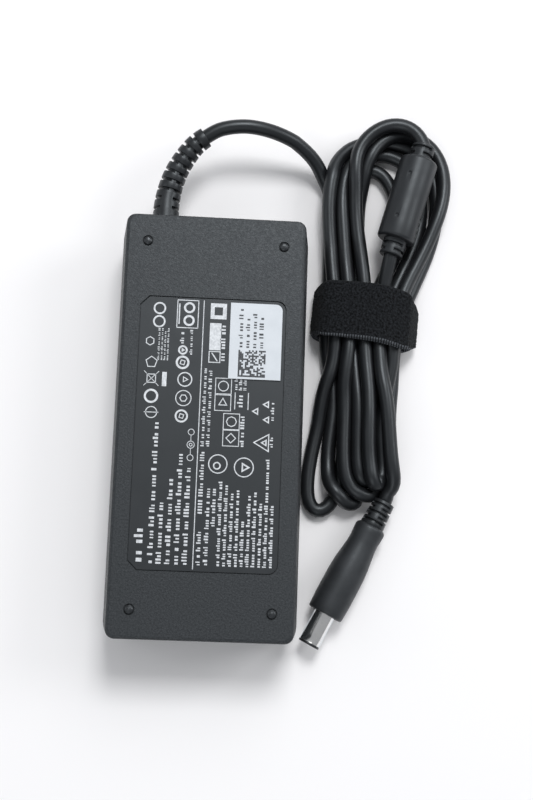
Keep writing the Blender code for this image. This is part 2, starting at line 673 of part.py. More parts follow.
def build_board(paints, socket_back, flange_start):
    floor = BOARD_HEIGHT + BOARD_THICKNESS + GAP
    ceiling = CASE_HEIGHT - CASE_WALL - GAP - SPREADER_THICKNESS - GAP
    half_x = case_half(BOARD_HEIGHT, CASE_WALL)[0] - BOARD_MARGIN

    def fitted(height):
        """The top of a part of that height on the board, lower where the case is too low for it."""
        return min(floor + height, ceiling - 0.8 * MM)

    front = socket_back + PIN_TAIL + 2.6 * MM
    back = flange_start - 2.0 * MM
    add("circuit_board", box((-half_x, front, BOARD_HEIGHT), (half_x, back, BOARD_HEIGHT + BOARD_THICKNESS)),
        paints["board"], smooth=False)

    # Bays along the board: each takes its own length, and the spare length is shared between them.
    bays = [("filter", 17.0 * MM), ("bridge", 5.0 * MM), ("bulk", 19.0 * MM), ("transformer", 25.0 * MM),
            ("output", 21.0 * MM)]
    spare = (back - front - sum(length for _, length in bays)) / (len(bays) + 1)
    places = {}
    near = front
    for name, length in bays:
        near += spare
        places[name] = near
        near += length

    y = places["filter"]
    add("x_capacitor", box((-half_x + 1 * MM, y, floor), (-half_x + 10 * MM, y + 16 * MM, fitted(15 * MM))),
        paints["yellow"], smooth=False)
    add("filter_choke", toroid((0.0, y + 8.5 * MM, floor), 8.5 * MM, 3.8 * MM, 9 * MM), paints["copper"])
    fuse_x = half_x - 3.6 * MM
    fuse_z = floor + 2.6 * MM
    add("fuse", rod((fuse_x, y, fuse_z), (fuse_x, y + 9 * MM, fuse_z), 2.6 * MM), paints["ceramic"])
    thermistor = (fuse_x - 2.0 * MM, y + 14.6 * MM, floor + 5.2 * MM)
    add("thermistor", disc(thermistor, (1, 0, 0), 5.0 * MM, 3.5 * MM, 18), paints["green"])

    y = places["bridge"]
    add("bridge_rectifier", box((-12 * MM, y, floor), (10 * MM, y + 4.2 * MM, fitted(13 * MM))),
        paints["black"], smooth=False)

    y = places["bulk"] + 9.5 * MM
    bulk_radius = (ceiling - floor) / 2 - 0.25 * MM
    bulk_start = (-half_x + 2 * MM, y, floor + bulk_radius + 0.1 * MM)
    add("bulk_capacitor", can(bulk_start, bulk_radius, 33 * MM, (1, 0, 0)), paints["sleeve"])

    sink_x = half_x - 2.2 * MM
    sink_start = places["bulk"]
    sink_end = places["transformer"] + 24 * MM
    add("primary_heatsink", box((sink_x, sink_start, floor), (sink_x + 1.6 * MM, sink_end, ceiling)),
        paints["aluminium"], smooth=False)
    transistor = box((sink_x - GAP - 4.4 * MM, sink_start + 3 * MM, floor + 4 * MM),
                     (sink_x - GAP, sink_start + 13 * MM, ceiling - 1 * MM))
    add("switching_transistor", transistor, paints["black"], smooth=False)

    y = places["transformer"]
    core_x = 15.0 * MM
    core_shift = -4.0 * MM
    core_low = floor + 1.0 * MM
    core_block = box((core_shift - core_x, y + 6 * MM, core_low),
                     (core_shift + core_x, y + 19 * MM, ceiling - 0.6 * MM))
    core = add("transformer_core", core_block, paints["ferrite"], smooth=False)
    window_low = core_low + 3.2 * MM
    window_high = ceiling - 3.8 * MM
    for name, side in (("left", -1), ("right", 1)):
        near, far = sorted((core_shift + side * 4.4 * MM, core_shift + side * 11.4 * MM))
        window = box((near, y, window_low), (far, y + 25 * MM, window_high))
        cut(core, add(f"core_window_cutter_{name}", window, paints["ferrite"], smooth=False))
    middle = Vector((core_shift, y + 12.5 * MM, window_low + GAP))
    winding_height = window_high - window_low - 2 * GAP
    inner = (4.4 * MM + GAP, 6.5 * MM + GAP, 0.9 * MM)
    outer = (11.4 * MM - GAP, 12.2 * MM, 4.0 * MM)
    loops = []
    for outline, z in ((inner, winding_height), (outer, winding_height), (outer, 0.0), (inner, 0.0)):
        loops.append([middle + Vector(point) for point in rounded_outline(*outline, z)])
    add("transformer_winding", hooped(loops), paints["tape"])

    wall_y = places["output"] - spare / 2
    wall_x = half_x - 0.6 * MM
    barrier = box((-wall_x, wall_y - 0.25 * MM, floor), (wall_x, wall_y + 0.25 * MM, ceiling))
    add("safety_barrier", barrier, paints["tape"], smooth=False)

    y = places["output"]
    second_x = -half_x + 0.8 * MM
    add("secondary_heatsink", box((second_x, y, floor), (second_x + 1.6 * MM, y + 20 * MM, ceiling)),
        paints["aluminium"], smooth=False)
    rectifier = box((second_x + 1.6 * MM + GAP, y + 2 * MM, floor + 4 * MM),
                    (second_x + 6.0 * MM, y + 12 * MM, ceiling - 1 * MM))
    add("output_rectifier", rectifier, paints["black"], smooth=False)
    can_height = fitted(16 * MM) - floor
    for number, x in ((1, -9.5 * MM), (2, 2.0 * MM)):
        upright = can((x, y + 5.6 * MM, floor), 5.0 * MM, can_height)
        add(f"output_capacitor_{number}", upright, paints["sleeve"])
    coil = toroid((14.5 * MM, y + 8 * MM, floor), 6.6 * MM, 2.8 * MM, 8 * MM)
    add("output_inductor", coil, paints["copper"])
    y_disc = disc((-3.0 * MM, y + 13.2 * MM, floor + 4.2 * MM), (0, 1, 0), 4.0 * MM, 3.0 * MM, 16)
    add("y_capacitor", y_disc, paints["blue"])
    coupler = box((5.0 * MM, y + 16.6 * MM, floor), (9.6 * MM, y + 20.6 * MM, floor + 3.4 * MM))
    add("feedback_coupler", coupler, paints["black"], smooth=False)
    chip_top = BOARD_HEIGHT - GAP
    chip_y = places["bulk"]
    chip = box((-4 * MM, chip_y, chip_top - 1.5 * MM), (4 * MM, chip_y + 5 * MM, chip_top))
    add("control_chip", chip, paints["black"], smooth=False)

    spread_x = case_half(CASE_WALL, CASE_WALL)[0] - 3 * MM
    for name, low in (("upper", ceiling + GAP), ("lower", CASE_WALL + GAP)):
        sheet = box((-spread_x, front + 1 * MM, low), (spread_x, back, low + SPREADER_THICKNESS))
        add(f"{name}_heat_spreader", sheet, paints["aluminium"], smooth=False)

    board_top = BOARD_HEIGHT + BOARD_THICKNESS + GAP
    for name, (x, z) in pin_places().items():
        start = Vector((x, socket_back + PIN_TAIL + GAP, z))
        pad_y = front + 1.8 * MM
        points = [start, start + Vector((0, 0.8 * MM, 0)), start + Vector((0, 1.8 * MM, -0.8 * MM)),
                  Vector((x, pad_y, board_top + 2.2 * MM)), Vector((x, pad_y, board_top))]
        add(f"inlet_wire_{name}", swept(points, [LEAD_RADIUS] * 5, 10), paints["sleeve"])
    dc_leads = (("positive", -DC_LEAD_PITCH, "copper"), ("negative", 0.0, "sleeve"),
                ("sense", DC_LEAD_PITCH, "yellow"))
    for name, offset, colour in dc_leads:
        x = RELIEF_X + offset
        end = Vector((x, flange_start - GAP, SEAM_HEIGHT))
        points = [Vector((x, back - 4 * MM, board_top)), Vector((x, back - 3.4 * MM, SEAM_HEIGHT - 2.6 * MM)),
                  Vector((x, back - 1.0 * MM, SEAM_HEIGHT - 0.4 * MM)), end]
        add(f"dc_lead_{name}", swept(points, [LEAD_RADIUS] * 4, 10), paints[colour])


def main():
    clear_scene()
    plastic = finish("case_plastic", (0.028, 0.029, 0.031), 0.62)
    jacket = finish("cord_jacket", (0.014, 0.014, 0.016), 0.38)
    rubber = finish("overmould_rubber", (0.02, 0.02, 0.022), 0.5)
    fabric = finish("strap_fabric", (0.012, 0.012, 0.013), 0.9)
    film = finish("label_film", (0.03, 0.031, 0.034), 0.45)
    white = finish("sticker_film", (0.55, 0.55, 0.55), 0.5)
    chrome = finish("nickel_plate", (0.62, 0.62, 0.6), 0.22, 1.0)
    paints = {
        "board": finish("board_laminate", (0.03, 0.1, 0.05), 0.5),
        "yellow": finish("yellow_case", (0.6, 0.42, 0.06), 0.5),
        "copper": finish("enamelled_copper", (0.45, 0.18, 0.06), 0.35, 0.6),
        "ceramic": finish("fuse_ceramic", (0.6, 0.57, 0.5), 0.5),
        "green": finish("green_lacquer", (0.05, 0.2, 0.08), 0.4),
        "black": finish("black_epoxy", (0.02, 0.02, 0.02), 0.5),
        "sleeve": finish("dark_sleeve", (0.03, 0.035, 0.06), 0.35),
        "aluminium": finish("sheet_aluminium", (0.6, 0.6, 0.6), 0.4, 1.0),
        "ferrite": finish("sintered_ferrite", (0.06, 0.06, 0.065), 0.7),
        "tape": finish("polyester_tape", (0.55, 0.42, 0.08), 0.4),
        "blue": finish("blue_lacquer", (0.04, 0.12, 0.4), 0.4),
    }
    top, bottom = build_case(plastic, film, white)
    socket_back = build_inlet(top, bottom, rubber, chrome)
    flange_start = build_relief(top, bottom, rubber)
    build_cords(jacket)
    build_hank(jacket)
    build_strap(fabric)
    build_choke(rubber, paints["ferrite"])
    build_plug(rubber, chrome, paints["black"], chrome)
    build_board(paints, socket_back, flange_start)


main()
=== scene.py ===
"""Looks of a laptop power adapter that lies label side up beside its folded DC cord."""

import math
import random

import bmesh
import bpy
import numpy as np
from mathutils import Euler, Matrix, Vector, noise


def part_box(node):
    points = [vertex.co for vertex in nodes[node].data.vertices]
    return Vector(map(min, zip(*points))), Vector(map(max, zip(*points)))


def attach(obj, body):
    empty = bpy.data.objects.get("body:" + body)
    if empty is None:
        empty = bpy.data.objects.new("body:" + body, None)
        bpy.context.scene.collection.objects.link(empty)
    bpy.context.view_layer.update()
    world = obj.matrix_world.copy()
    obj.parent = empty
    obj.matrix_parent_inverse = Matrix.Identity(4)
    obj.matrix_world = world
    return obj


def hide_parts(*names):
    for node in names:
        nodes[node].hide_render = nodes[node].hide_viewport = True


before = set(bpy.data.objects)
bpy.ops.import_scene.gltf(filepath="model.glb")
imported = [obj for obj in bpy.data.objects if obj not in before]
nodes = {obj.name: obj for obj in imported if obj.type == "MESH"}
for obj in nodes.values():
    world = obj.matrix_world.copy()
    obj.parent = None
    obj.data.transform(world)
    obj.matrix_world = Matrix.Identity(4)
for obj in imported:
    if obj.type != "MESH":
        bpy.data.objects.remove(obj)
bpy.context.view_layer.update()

# ---- Camera ----
# Almost straight above the adapter, leaning a little towards the inlet end, with a mild wide-angle lens.

camera = bpy.data.objects.new("camera", bpy.data.cameras.new("camera"))
camera.data.lens = 54
camera.data.clip_start = 0.01
camera.location = (0.0002, -0.0528, 0.4231)
camera.rotation_euler = Euler([math.radians(turn) for turn in (8.77, -3.03, 2.03)])
bpy.context.scene.collection.objects.link(camera)
bpy.context.scene.camera = camera

# ---- Studio ----
# A white seamless sweep under one soft key light high behind the cord end, with a wide weak one beside it and
# small ones at both sides.
# The key is small beside its distance, so it draws clear shadows and narrow bright lines on the round cords.

bpy.context.scene.view_settings.view_transform = "Standard"
bpy.ops.mesh.primitive_plane_add(size=6)
floor = bpy.context.object
floor.name = "studio_floor"
floor_paint = bpy.data.materials.new("studio_white")
floor_paint.use_nodes = True
floor_shader = floor_paint.node_tree.nodes["Principled BSDF"]
floor_shader.inputs["Base Color"].default_value = (0.90, 0.895, 0.905, 1)
floor_shader.inputs["Roughness"].default_value = 0.9
floor.data.materials.append(floor_paint)

lamps = (
    ("key_softbox", (0.13, 0.70, 1.25), 0.42, 9.6),
    ("back_softbox", (0.30, 0.90, 0.95), 0.80, 3.2),
    ("right_softbox", (0.80, 0.30, 0.60), 0.40, 2.6),
    ("left_softbox", (-0.80, 0.10, 0.55), 0.50, 0.9),
    ("front_fill", (-0.30, -0.85, 1.00), 0.70, 2.4),
)
for name, place, size, power in lamps:
    light = bpy.data.objects.new(name, bpy.data.lights.new(name, "AREA"))
    light.data.shape = "SQUARE"
    light.data.size = size
    light.data.energy = power
    light.location = place
    light.rotation_euler = (-Vector(place) + Vector((0.02, 0, 0))).to_track_quat("-Z", "Y").to_euler()
    bpy.context.scene.collection.objects.link(light)
world = bpy.data.worlds.new("studio_air")
world.use_nodes = True
world.node_tree.nodes["Background"].inputs["Color"].default_value = (0.95, 0.97, 1.0, 1)
world.node_tree.nodes["Background"].inputs["Strength"].default_value = 0.38
bpy.context.scene.world = world

# ---- DC cord ----
# One 5 mm round cord with a satin black jacket. It leaves the strain relief in a free arc, is folded into a
# flat hank of eleven runs held by the strap, goes once through the choke and ends in the plug.
# Each run is a list of points in millimetres, in the direction of travel from the case to the plug.

CORD_DIAMETER = 0.005
CHOKE_TOP = (73.2, 106.2, 13.0)
CHOKE_BOTTOM = (62.0, 65.2, 12.0)

cord_runs = [
    # Free arc from the strain relief, then down the left side under the other runs
    [(-8.0, 101.1, 17.8), (-6.0, 102.7, 18.2), (-0.5, 106.0, 19.0), (7.9, 107.6, 19.3), (16.0, 107.2, 18.2),
     (24.9, 105.4, 14.8), (32.2, 102.4, 10.0), (37.8, 97.4, 5.6), (40.9, 91.4, 3.0), (42.0, 84, 2.6), (42.2,
                                                                                                       75, 2.6),
     (41.8, 65, 3.0), (41.6, 57, 4.2), (41.2, 48, 4.5), (40.6, 39, 4.5), (41.6, 30, 3.4), (43.4, 19, 2.6),
     (43.8, 8, 2.6), (42.4, -3.5, 2.6), (42.5, -11, 2.8), (44.0, -17, 3.6), (46.2, -21.8, 4.6), (49.8, -24.6,
                                                                                                 5.0),
     (53.6, -23.8, 4.4), (56.2, -20.5, 3.2)],
    # Up the right side under the choke, and over the top inside the other turns
    [(56.0, -14, 2.6), (54.6, -4, 2.6), (54.0, 8, 2.6), (54.0, 20, 2.8), (54.4, 31, 4.0), (55.6, 42, 4.5),
     (57.6, 52, 4.4), (61.5, 60, 3.0), (65.0, 68, 2.6), (66.5, 76, 2.6), (66.0, 84, 2.6), (64.4, 91, 2.6),
     (62.4, 96, 2.6), (59.6, 100, 2.8), (56.0, 102, 2.8), (52.0, 101, 2.8), (48.6, 97.5, 2.8), (46.6, 91.5, 2.6)],
    # Down the left side
    [(45.6, 83, 2.6), (45.6, 74, 2.6), (45.8, 65, 2.8), (46.2, 56, 4.2), (46.0, 47, 4.5), (45.6, 39, 4.5),
     (46.6, 30, 3.4), (48.4, 19, 2.6), (48.8, 8, 2.6), (48.2, -3, 2.6), (47.2, -12, 2.6), (45.4, -20.5, 2.6),
     (42.7, -26.4, 2.6), (39.0, -28.4, 2.6), (36.0, -25.8, 2.6)],
    # Up the left edge and over the top, outermost
    [(35.1, -19.2, 2.6), (35.8, -10, 2.6), (37.6, -1, 2.6), (39.8, 8, 3.0), (41.3, 17, 4.6), (42.9, 25, 6.4),
     (43.8, 33, 8.2), (43.4, 42, 8.8), (42.8, 51, 8.7), (42.2, 59, 8.0), (41.5, 68.5, 7.6), (41.0, 78, 7.8),
     (41.3, 87, 8.2), (42.4, 95, 7.6), (44.9, 101.5, 5.6), (48.2, 106.4, 4.2), (53.6, 109.4, 3.2),
     (60.0, 110.8, 2.6), (66.5, 110.4, 2.6), (72.5, 108.2, 2.6), (77.0, 103.5, 2.6)],
    # Down the right edge
    [(79.4, 96.5, 2.6), (80.2, 88, 2.6), (79.6, 79, 2.6), (76.6, 68, 2.6), (72.6, 58.5, 3.4), (69.0, 50, 4.5),
     (66.0, 42, 4.5), (64.6, 33, 4.0), (64.2, 22, 2.8), (64.0, 10, 2.6), (64.0, -2, 2.6), (63.4, -11, 2.6),
     (61.0, -18, 3.0), (57.0, -21.3, 4.2), (53.2, -20.4, 6.0)],
    # Up over the others, left of the middle
    [(50.2, -16.5, 7.4), (48.4, -9, 7.6), (48.2, 0, 7.4), (48.7, 10, 7.3), (49.0, 20, 7.5), (48.6, 30, 8.4),
     (48.4, 39, 8.8), (47.8, 48, 8.8), (46.7, 56.5, 8.2), (45.5, 66, 7.7), (44.6, 75, 7.6), (43.9, 84, 7.5),
     (44.2, 92.5, 7.2), (46.0, 99.3, 6.2), (49.6, 103.8, 4.6), (54.6, 106.2, 3.2), (60.2, 106.8, 2.8),
     (65.6, 105.6, 2.6), (70.0, 102, 2.6)],
    # Down the right side behind the choke
    [(73.0, 95.5, 2.6), (74.6, 87, 2.6), (74.0, 78, 2.6), (71.4, 69.5, 2.6), (67.6, 61, 3.2), (64.0, 53, 4.4),
     (61.0, 43, 4.5), (59.6, 33, 4.0), (59.2, 22, 2.8), (59.0, 10, 2.6), (59.0, -2, 2.6), (58.6, -10, 2.8),
     (57.0, -16, 3.8), (54.6, -18.4, 5.4)],
    # Up the middle and over the top, just inside the front turn
    [(52.6, -15, 7.0), (52.0, -7, 7.0), (52.2, 2, 6.9), (52.3, 11, 6.5), (51.4, 20, 5.4), (50.8, 30, 4.6),
     (50.8, 42, 4.5), (51.0, 53, 4.2), (50.8, 64, 3.0), (50.8, 75, 2.7), (51.0, 85, 3.0), (51.4, 92.5, 4.6),
     (52.2, 99, 7.0), (54.4, 104.8, 7.8), (58.6, 109.6, 7.6), (63.8, 112.6, 6.9), (69.4, 113.0, 6.0),
     (74.6, 111.3, 5.4), (78.8, 107.4, 5.4)],
    # Down the right side, in front
    [(81.3, 101, 5.8), (82.1, 93.5, 6.6), (80.9, 85.5, 7.0), (78.4, 77.5, 7.0), (75.0, 69, 7.0),
     (71.0, 61, 7.4),
     (67.2, 53, 8.4), (64.4, 43, 8.8), (63.8, 33, 7.8), (62.6, 22, 7.0), (60.8, 10, 7.0), (60.6, 0, 7.0),
     (61.6, -8, 6.7), (62.6, -13.5, 6.2), (61.6, -18.2, 5.8), (59.2, -20.2, 6.6), (57.0, -18.0, 8.4)],
    # Up the middle in front of all, and over the top to the choke
    [(56.2, -12.5, 10.0), (55.8, -5, 10.6), (55.5, 4, 10.8), (55.5, 14, 10.4), (55.0, 24, 9.6),
     (54.0, 33.5, 8.9),
     (53.8, 43, 8.8), (53.6, 52, 8.8), (52.8, 60, 8.4), (51.2, 70, 8.0), (49.6, 80, 8.0), (48.4, 89, 8.4),
     (47.8, 97, 9.4), (49.6, 105.4, 10.2), (54.8, 111.9, 10.9), (61.3, 115.2, 11.7), (68.0, 114.2, 12.5),
     (72.2, 110.6, 13.0)],
]
choke_run = [Vector(CHOKE_TOP).lerp(Vector(CHOKE_BOTTOM), share) for share in (0, 0.25, 0.5, 0.75, 1)]
last_run = [
    (61.2, 61.2, 11.4), (60.4, 56.4, 10.0), (59.8, 50, 8.9), (59.2, 42, 8.8), (59.4, 33.5, 8.9), (60.8, 22,
                                                                                                  9.8),
    (61.9, 11, 11.0), (62.8, 1, 11.4), (63.5, -8, 11.0), (63.8, -14.5, 9.4), (63.4, -18.5, 7.6), (62.4,
                                                                                                  -22.0, 6.5),
    (60.4, -25.9, 6.5), (58.6, -29.5, 6.5),
]


def through_points(points, spacing):
    """An even line of points on a centripetal spline, which bends gently through every given point."""
    points = [Vector(point) for point in points]
    ends = [2 * points[0] - points[1], *points, 2 * points[-1] - points[-2]]
    line = []
    for before, start, end, after in zip(ends, ends[1:], ends[2:], ends[3:]):
        knots = [0.0]
        for a, b in ((before, start), (start, end), (end, after)):
            knots.append(knots[-1] + math.sqrt((b - a).length))
        steps = max(2, round((end - start).length / spacing))
        for step in range(steps):
            t = knots[1] + (knots[2] - knots[1]) * step / steps
            near = [
                start_point.lerp(end_point, (t - low) / (high - low))
                for start_point, end_point, low, high in zip(
                    (before, start, end), (start, end, after), knots, knots[1:])
            ]
            mid = [near[i].lerp(near[i + 1], (t - knots[i]) / (knots[i + 2] - knots[i])) for i in (0, 1)]
            line.append(mid[0].lerp(mid[1], (t - knots[1]) / (knots[2] - knots[1])))
    return np.array([*line, points[-1]])


def evened(line, spacing):
    """The same line with its points the given distance apart."""
    along = np.concatenate([[0], np.cumsum(np.linalg.norm(np.diff(line, axis=0), axis=1))])
    wanted = np.linspace(0, along[-1], round(along[-1] / spacing) + 1)
    return np.column_stack([np.interp(wanted, along, line[:, axis]) for axis in range(3)])


def settled(line, held, gap, floor_height, rounds=260):
    """Lets a folded cord settle: turns that touch push each other aside, and bends straighten a little."""
    home, line = line, line.copy()
    free = (~held)[:, None]
    neighbours = 7
    for turn in range(rounds):
        if turn % 8 == 0:
            spread = np.linalg.norm(line[:, None] - line[None], axis=2)
            first, second = np.nonzero(np.triu(spread < 1.7 * gap, neighbours))
        apart = line[first] - line[second]
        distance = np.maximum(np.linalg.norm(apart, axis=1), 1e-6)
        touching = distance < gap
        push = (apart / distance[:, None] * (gap - distance)[:, None] / 2)[touching]
        moves, count = np.zeros_like(line), np.zeros(len(line))
        for ends, sign in ((first[touching], 1), (second[touching], -1)):
            np.add.at(moves, ends, sign * push)
            np.add.at(count, ends, 1)
        line += 0.7 * free * moves / np.sqrt(np.maximum(count, 1))[:, None]
        bend = np.zeros_like(line)
        bend[1:-1] = (line[2:] + line[:-2]) / 2 - line[1:-1]
        late = turn > 0.7 * rounds
        line += free * ((0.06 if late else 0.14) * bend + (0.003 if late else 0.02) * (home - line))
        line[:, 2] = np.where(held, line[:, 2], np.maximum(line[:, 2], floor_height))
    return line


hank_points = [point for run in cord_runs for point in run]
first_part = through_points([*hank_points, *choke_run, *last_run], 1.7)
choke_axis = (Vector(CHOKE_BOTTOM) - Vector(CHOKE_TOP)).normalized()
from_choke_top = first_part - np.array(CHOKE_TOP)
beside_axis = np.linalg.norm(np.cross(from_choke_top, choke_axis), axis=1)
along_choke = from_choke_top @ np.array(choke_axis)
in_choke = (beside_axis < 0.05) & (along_choke > -0.1) & (along_choke < 42.7)
travelled = np.arange(len(first_part)) * 1.7
held = in_choke | (travelled < 40) | (travelled > travelled[-1] - 12)
cord_line = evened(settled(first_part, held, 5.04, 2.5), 1.5)
cord_points = cord_line / 1000

CORD_SIDES = 20


def tube_along(name, points, radii, sides):
    """A round tube whose rings don't twist along its line, with a UV map in shares round and metres along."""
    tube = bmesh.new()
    uv = tube.loops.layers.uv.new("along")
    ahead = np.gradient(points, axis=0)
    ahead /= np.linalg.norm(ahead, axis=1)[:, None]
    across = np.cross(ahead[0], (0.0, 0.0, 1.0))
    travelled = np.concatenate([[0], np.cumsum(np.linalg.norm(np.diff(points, axis=0), axis=1))])
    rings = []
    for point, forward, radius in zip(points, ahead, radii):
        across = across - forward * np.dot(across, forward)
        across /= np.linalg.norm(across)
        upward = np.cross(across, forward)
        rings.append([
            tube.verts.new(point + radius * (math.cos(turn) * across + math.sin(turn) * upward))
            for turn in np.arange(sides) * math.tau / sides
        ])
    for step, (near, far) in enumerate(zip(rings, rings[1:])):
        for side in range(sides):
            after = (side + 1) % sides
            face = tube.faces.new((near[side], far[side], far[after], near[after]))
            face.smooth = True
            shares = (side, side, side + 1, side + 1)
            for loop, share, along in zip(face.loops, shares, (step, step + 1, step + 1, step)):
                loop[uv].uv = (share / sides, travelled[along])
    tube.faces.new(rings[0])
    tube.faces.new(list(reversed(rings[-1])))
    bmesh.ops.recalc_face_normals(tube, faces=tube.faces)
    mesh = bpy.data.meshes.new(name)
    tube.to_mesh(mesh)
    tube.free()
    made = bpy.data.objects.new(name, mesh)
    bpy.context.scene.collection.objects.link(made)
    return made


def new_finish(name, colour, roughness, metallic=0.0):
    """A Principled material, with its node tree and its shader."""
    paint = bpy.data.materials.new(name)
    paint.use_nodes = True
    shader = paint.node_tree.nodes["Principled BSDF"]
    shader.inputs["Base Color"].default_value = (*colour, 1)
    shader.inputs["Roughness"].default_value = roughness
    shader.inputs["Metallic"].default_value = metallic
    shader.inputs["Specular Tint"].default_value = (0.88, 0.95, 1.0, 1)
    return paint, paint.node_tree, shader


def add_node(tree, kind, **values):
    """A node with its settings and unlinked inputs filled in."""
    node = tree.nodes.new(kind)
    for key, value in values.items():
        if key in node.inputs:
            node.inputs[key].default_value = value
        else:
            setattr(node, key, value)
    return node


def place_in(tree, source="Object", stretch=(1, 1, 1)):
    """Object or UV coordinates, stretched along their axes."""
    where = add_node(tree, "ShaderNodeTexCoord")
    mapping = add_node(tree, "ShaderNodeMapping", Scale=stretch)
    tree.links.new(where.outputs[source], mapping.inputs["Vector"])
    return mapping.outputs["Vector"]


def vary_colour(tree, shader, where, patch, dark, light, detail=2):
    """Soft patches of two near colours."""
    noise = add_node(tree, "ShaderNodeTexNoise", Scale=1 / patch, Detail=detail)
    ramp = add_node(tree, "ShaderNodeValToRGB")
    ramp.color_ramp.elements[0].position = 0.35
    ramp.color_ramp.elements[1].position = 0.65
    ramp.color_ramp.elements[0].color = (*dark, 1)
    ramp.color_ramp.elements[1].color = (*light, 1)
    tree.links.new(where, noise.inputs["Vector"])
    tree.links.new(noise.outputs["Fac"], ramp.inputs["Fac"])
    tree.links.new(ramp.outputs["Color"], shader.inputs["Base Color"])
    return ramp


def vary_roughness(tree, shader, where, patch, low, high):
    """Patches a little smoother and a little rougher."""
    noise = add_node(tree, "ShaderNodeTexNoise", Scale=1 / patch, Detail=3)
    spread = add_node(tree, "ShaderNodeMapRange")
    for name, value in (("From Min", 0.3), ("From Max", 0.7), ("To Min", low), ("To Max", high)):
        spread.inputs[name].default_value = value
    tree.links.new(where, noise.inputs["Vector"])
    tree.links.new(noise.outputs["Fac"], spread.inputs["Value"])
    tree.links.new(spread.outputs["Result"], shader.inputs["Roughness"])


def raise_grain(tree, shader, where, grain, height, strength, detail=2):
    """A fine bump of that grain size and height, in metres."""
    noise = add_node(tree, "ShaderNodeTexNoise", Scale=1 / grain, Detail=detail)
    bump = add_node(tree, "ShaderNodeBump", Strength=strength, Distance=height)
    tree.links.new(where, noise.inputs["Vector"])
    tree.links.new(noise.outputs["Fac"], bump.inputs["Height"])
    tree.links.new(bump.outputs["Normal"], shader.inputs["Normal"])


jacket, jacket_tree, jacket_shader = new_finish("satin_jacket", (0.0085, 0.0092, 0.0105), 0.38)
along_jacket = place_in(jacket_tree, "UV", (1, 60, 1))
vary_colour(jacket_tree, jacket_shader, along_jacket, 0.8, (0.0065, 0.0070, 0.0080), (0.0105, 0.0114, 0.0130))
vary_roughness(jacket_tree, jacket_shader, along_jacket, 0.5, 0.34, 0.43)
raise_grain(jacket_tree, jacket_shader, place_in(jacket_tree), 0.0008, 0.00003, 0.2)

cord = tube_along("dc_cord", cord_points, np.full(len(cord_points), CORD_DIAMETER / 2), CORD_SIDES)
cord.data.materials.append(jacket)
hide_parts("cord_lead", "cord_hank", "cord_loop", "cord_tail")
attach(cord, "root")

# ---- Housing strain relief ----
# A ringed sleeve of black elastomer, moulded over the cord and held in the case's end wall. Slots on both sides
# of a rib let it bend: the three nearest the case keep a wide flat rib, and the others only a narrow one.

RELIEF_LENGTH = 0.0365
RELIEF_ROOT = 0.0047
RELIEF_TIP = 0.0036
ROOT_SLOTS = 3
RELIEF_SLOTS = 10
FIRST_SLOT = 0.0020
SLOT_PITCH = 0.0034
SLOT_WIDTH = 0.0011
SLOT_DEPTH = 0.0012
ROOT_RIB = 0.0019
TIP_RIB = 0.0009
SHALLOW_CUT = 0.0005

relief_line = [(-18.2, 70.9, 15), (-18.1, 75, 15), (-18.0, 79, 15.05), (-17.0, 85, 15.25), (-15.0, 91, 15.8),
               (-11.7, 96.7, 16.8), (-9.1, 100.1, 17.5), (-6.0, 102.7, 18.2), (-4.0, 104.0, 18.5)]


def start_edit(name):
    """Selects nothing but the new primitive, names it and opens it in edit mode."""
    made = bpy.context.object
    made.name = made.data.name = name
    bpy.ops.object.mode_set(mode="EDIT")
    return made


def select_faces(made, test):
    """In edit mode, selects the faces whose centre and normal pass the test."""
    mesh = bmesh.from_edit_mesh(made.data)
    for item in (*mesh.verts, *mesh.edges, *mesh.faces):
        item.select = False
    for face in mesh.faces:
        if test(face.calc_center_median(), face.normal):
            face.select_set(True)
    bmesh.update_edit_mesh(made.data)


def lathed(name, profile, sides, ring=False):
    """A body turned about Z from (height, radius) pairs: extruded edges, with flat ends unless it is a ring."""
    bpy.ops.object.select_all(action="DESELECT")
    height, radius = profile[0]
    bpy.ops.mesh.primitive_circle_add(vertices=sides, radius=radius, fill_type="NOTHING",
                                      location=(0, 0, height))
    bpy.ops.object.transform_apply(location=True)
    made = start_edit(name)
    bpy.ops.mesh.select_all(action="SELECT")
    for next_height, next_radius in profile[1:]:
        bpy.ops.mesh.extrude_edges_move(TRANSFORM_OT_translate={"value": (0, 0, next_height - height)})
        grow = next_radius / radius
        bpy.ops.transform.resize(value=(grow, grow, 1), center_override=(0, 0, next_height))
        height, radius = next_height, next_radius
    if not ring:
        bpy.ops.mesh.edge_face_add()
        mesh = bmesh.from_edit_mesh(made.data)
        for edge in mesh.edges:
            edge.select_set(edge.is_boundary)
        bmesh.update_edit_mesh(made.data)
        bpy.ops.mesh.edge_face_add()
    bpy.ops.mesh.select_all(action="SELECT")
    bpy.ops.mesh.remove_doubles(threshold=1e-6)
    bpy.ops.mesh.normals_make_consistent(inside=False)
    bpy.ops.object.mode_set(mode="OBJECT")
    return made


def cut_slots(made, slots, *steps):
    """Sinks (low, high, rib direction in degrees) slots in steps of (half width of the ribs left, depth)."""
    bpy.ops.object.mode_set(mode="EDIT")
    for low, high, _ in slots:
        for level in (low, high):
            bpy.ops.mesh.select_all(action="SELECT")
            bpy.ops.mesh.bisect(plane_co=(0, 0, level), plane_no=(0, 0, 1))
    for half_width, depth in steps:
        for low, high, rib in slots:
            rib_way = Vector((math.cos(math.radians(rib)), math.sin(math.radians(rib)), 0))

            def in_slot(centre, normal):
                beside_rib = abs(Vector((centre.x, centre.y, 0)).cross(rib_way).z) >= half_width
                return low < centre.z < high and abs(normal.z) < 0.5 and beside_rib

            select_faces(made, in_slot)
            bpy.ops.mesh.extrude_region_shrink_fatten(TRANSFORM_OT_shrink_fatten={"value": -depth})
    bpy.ops.object.mode_set(mode="OBJECT")


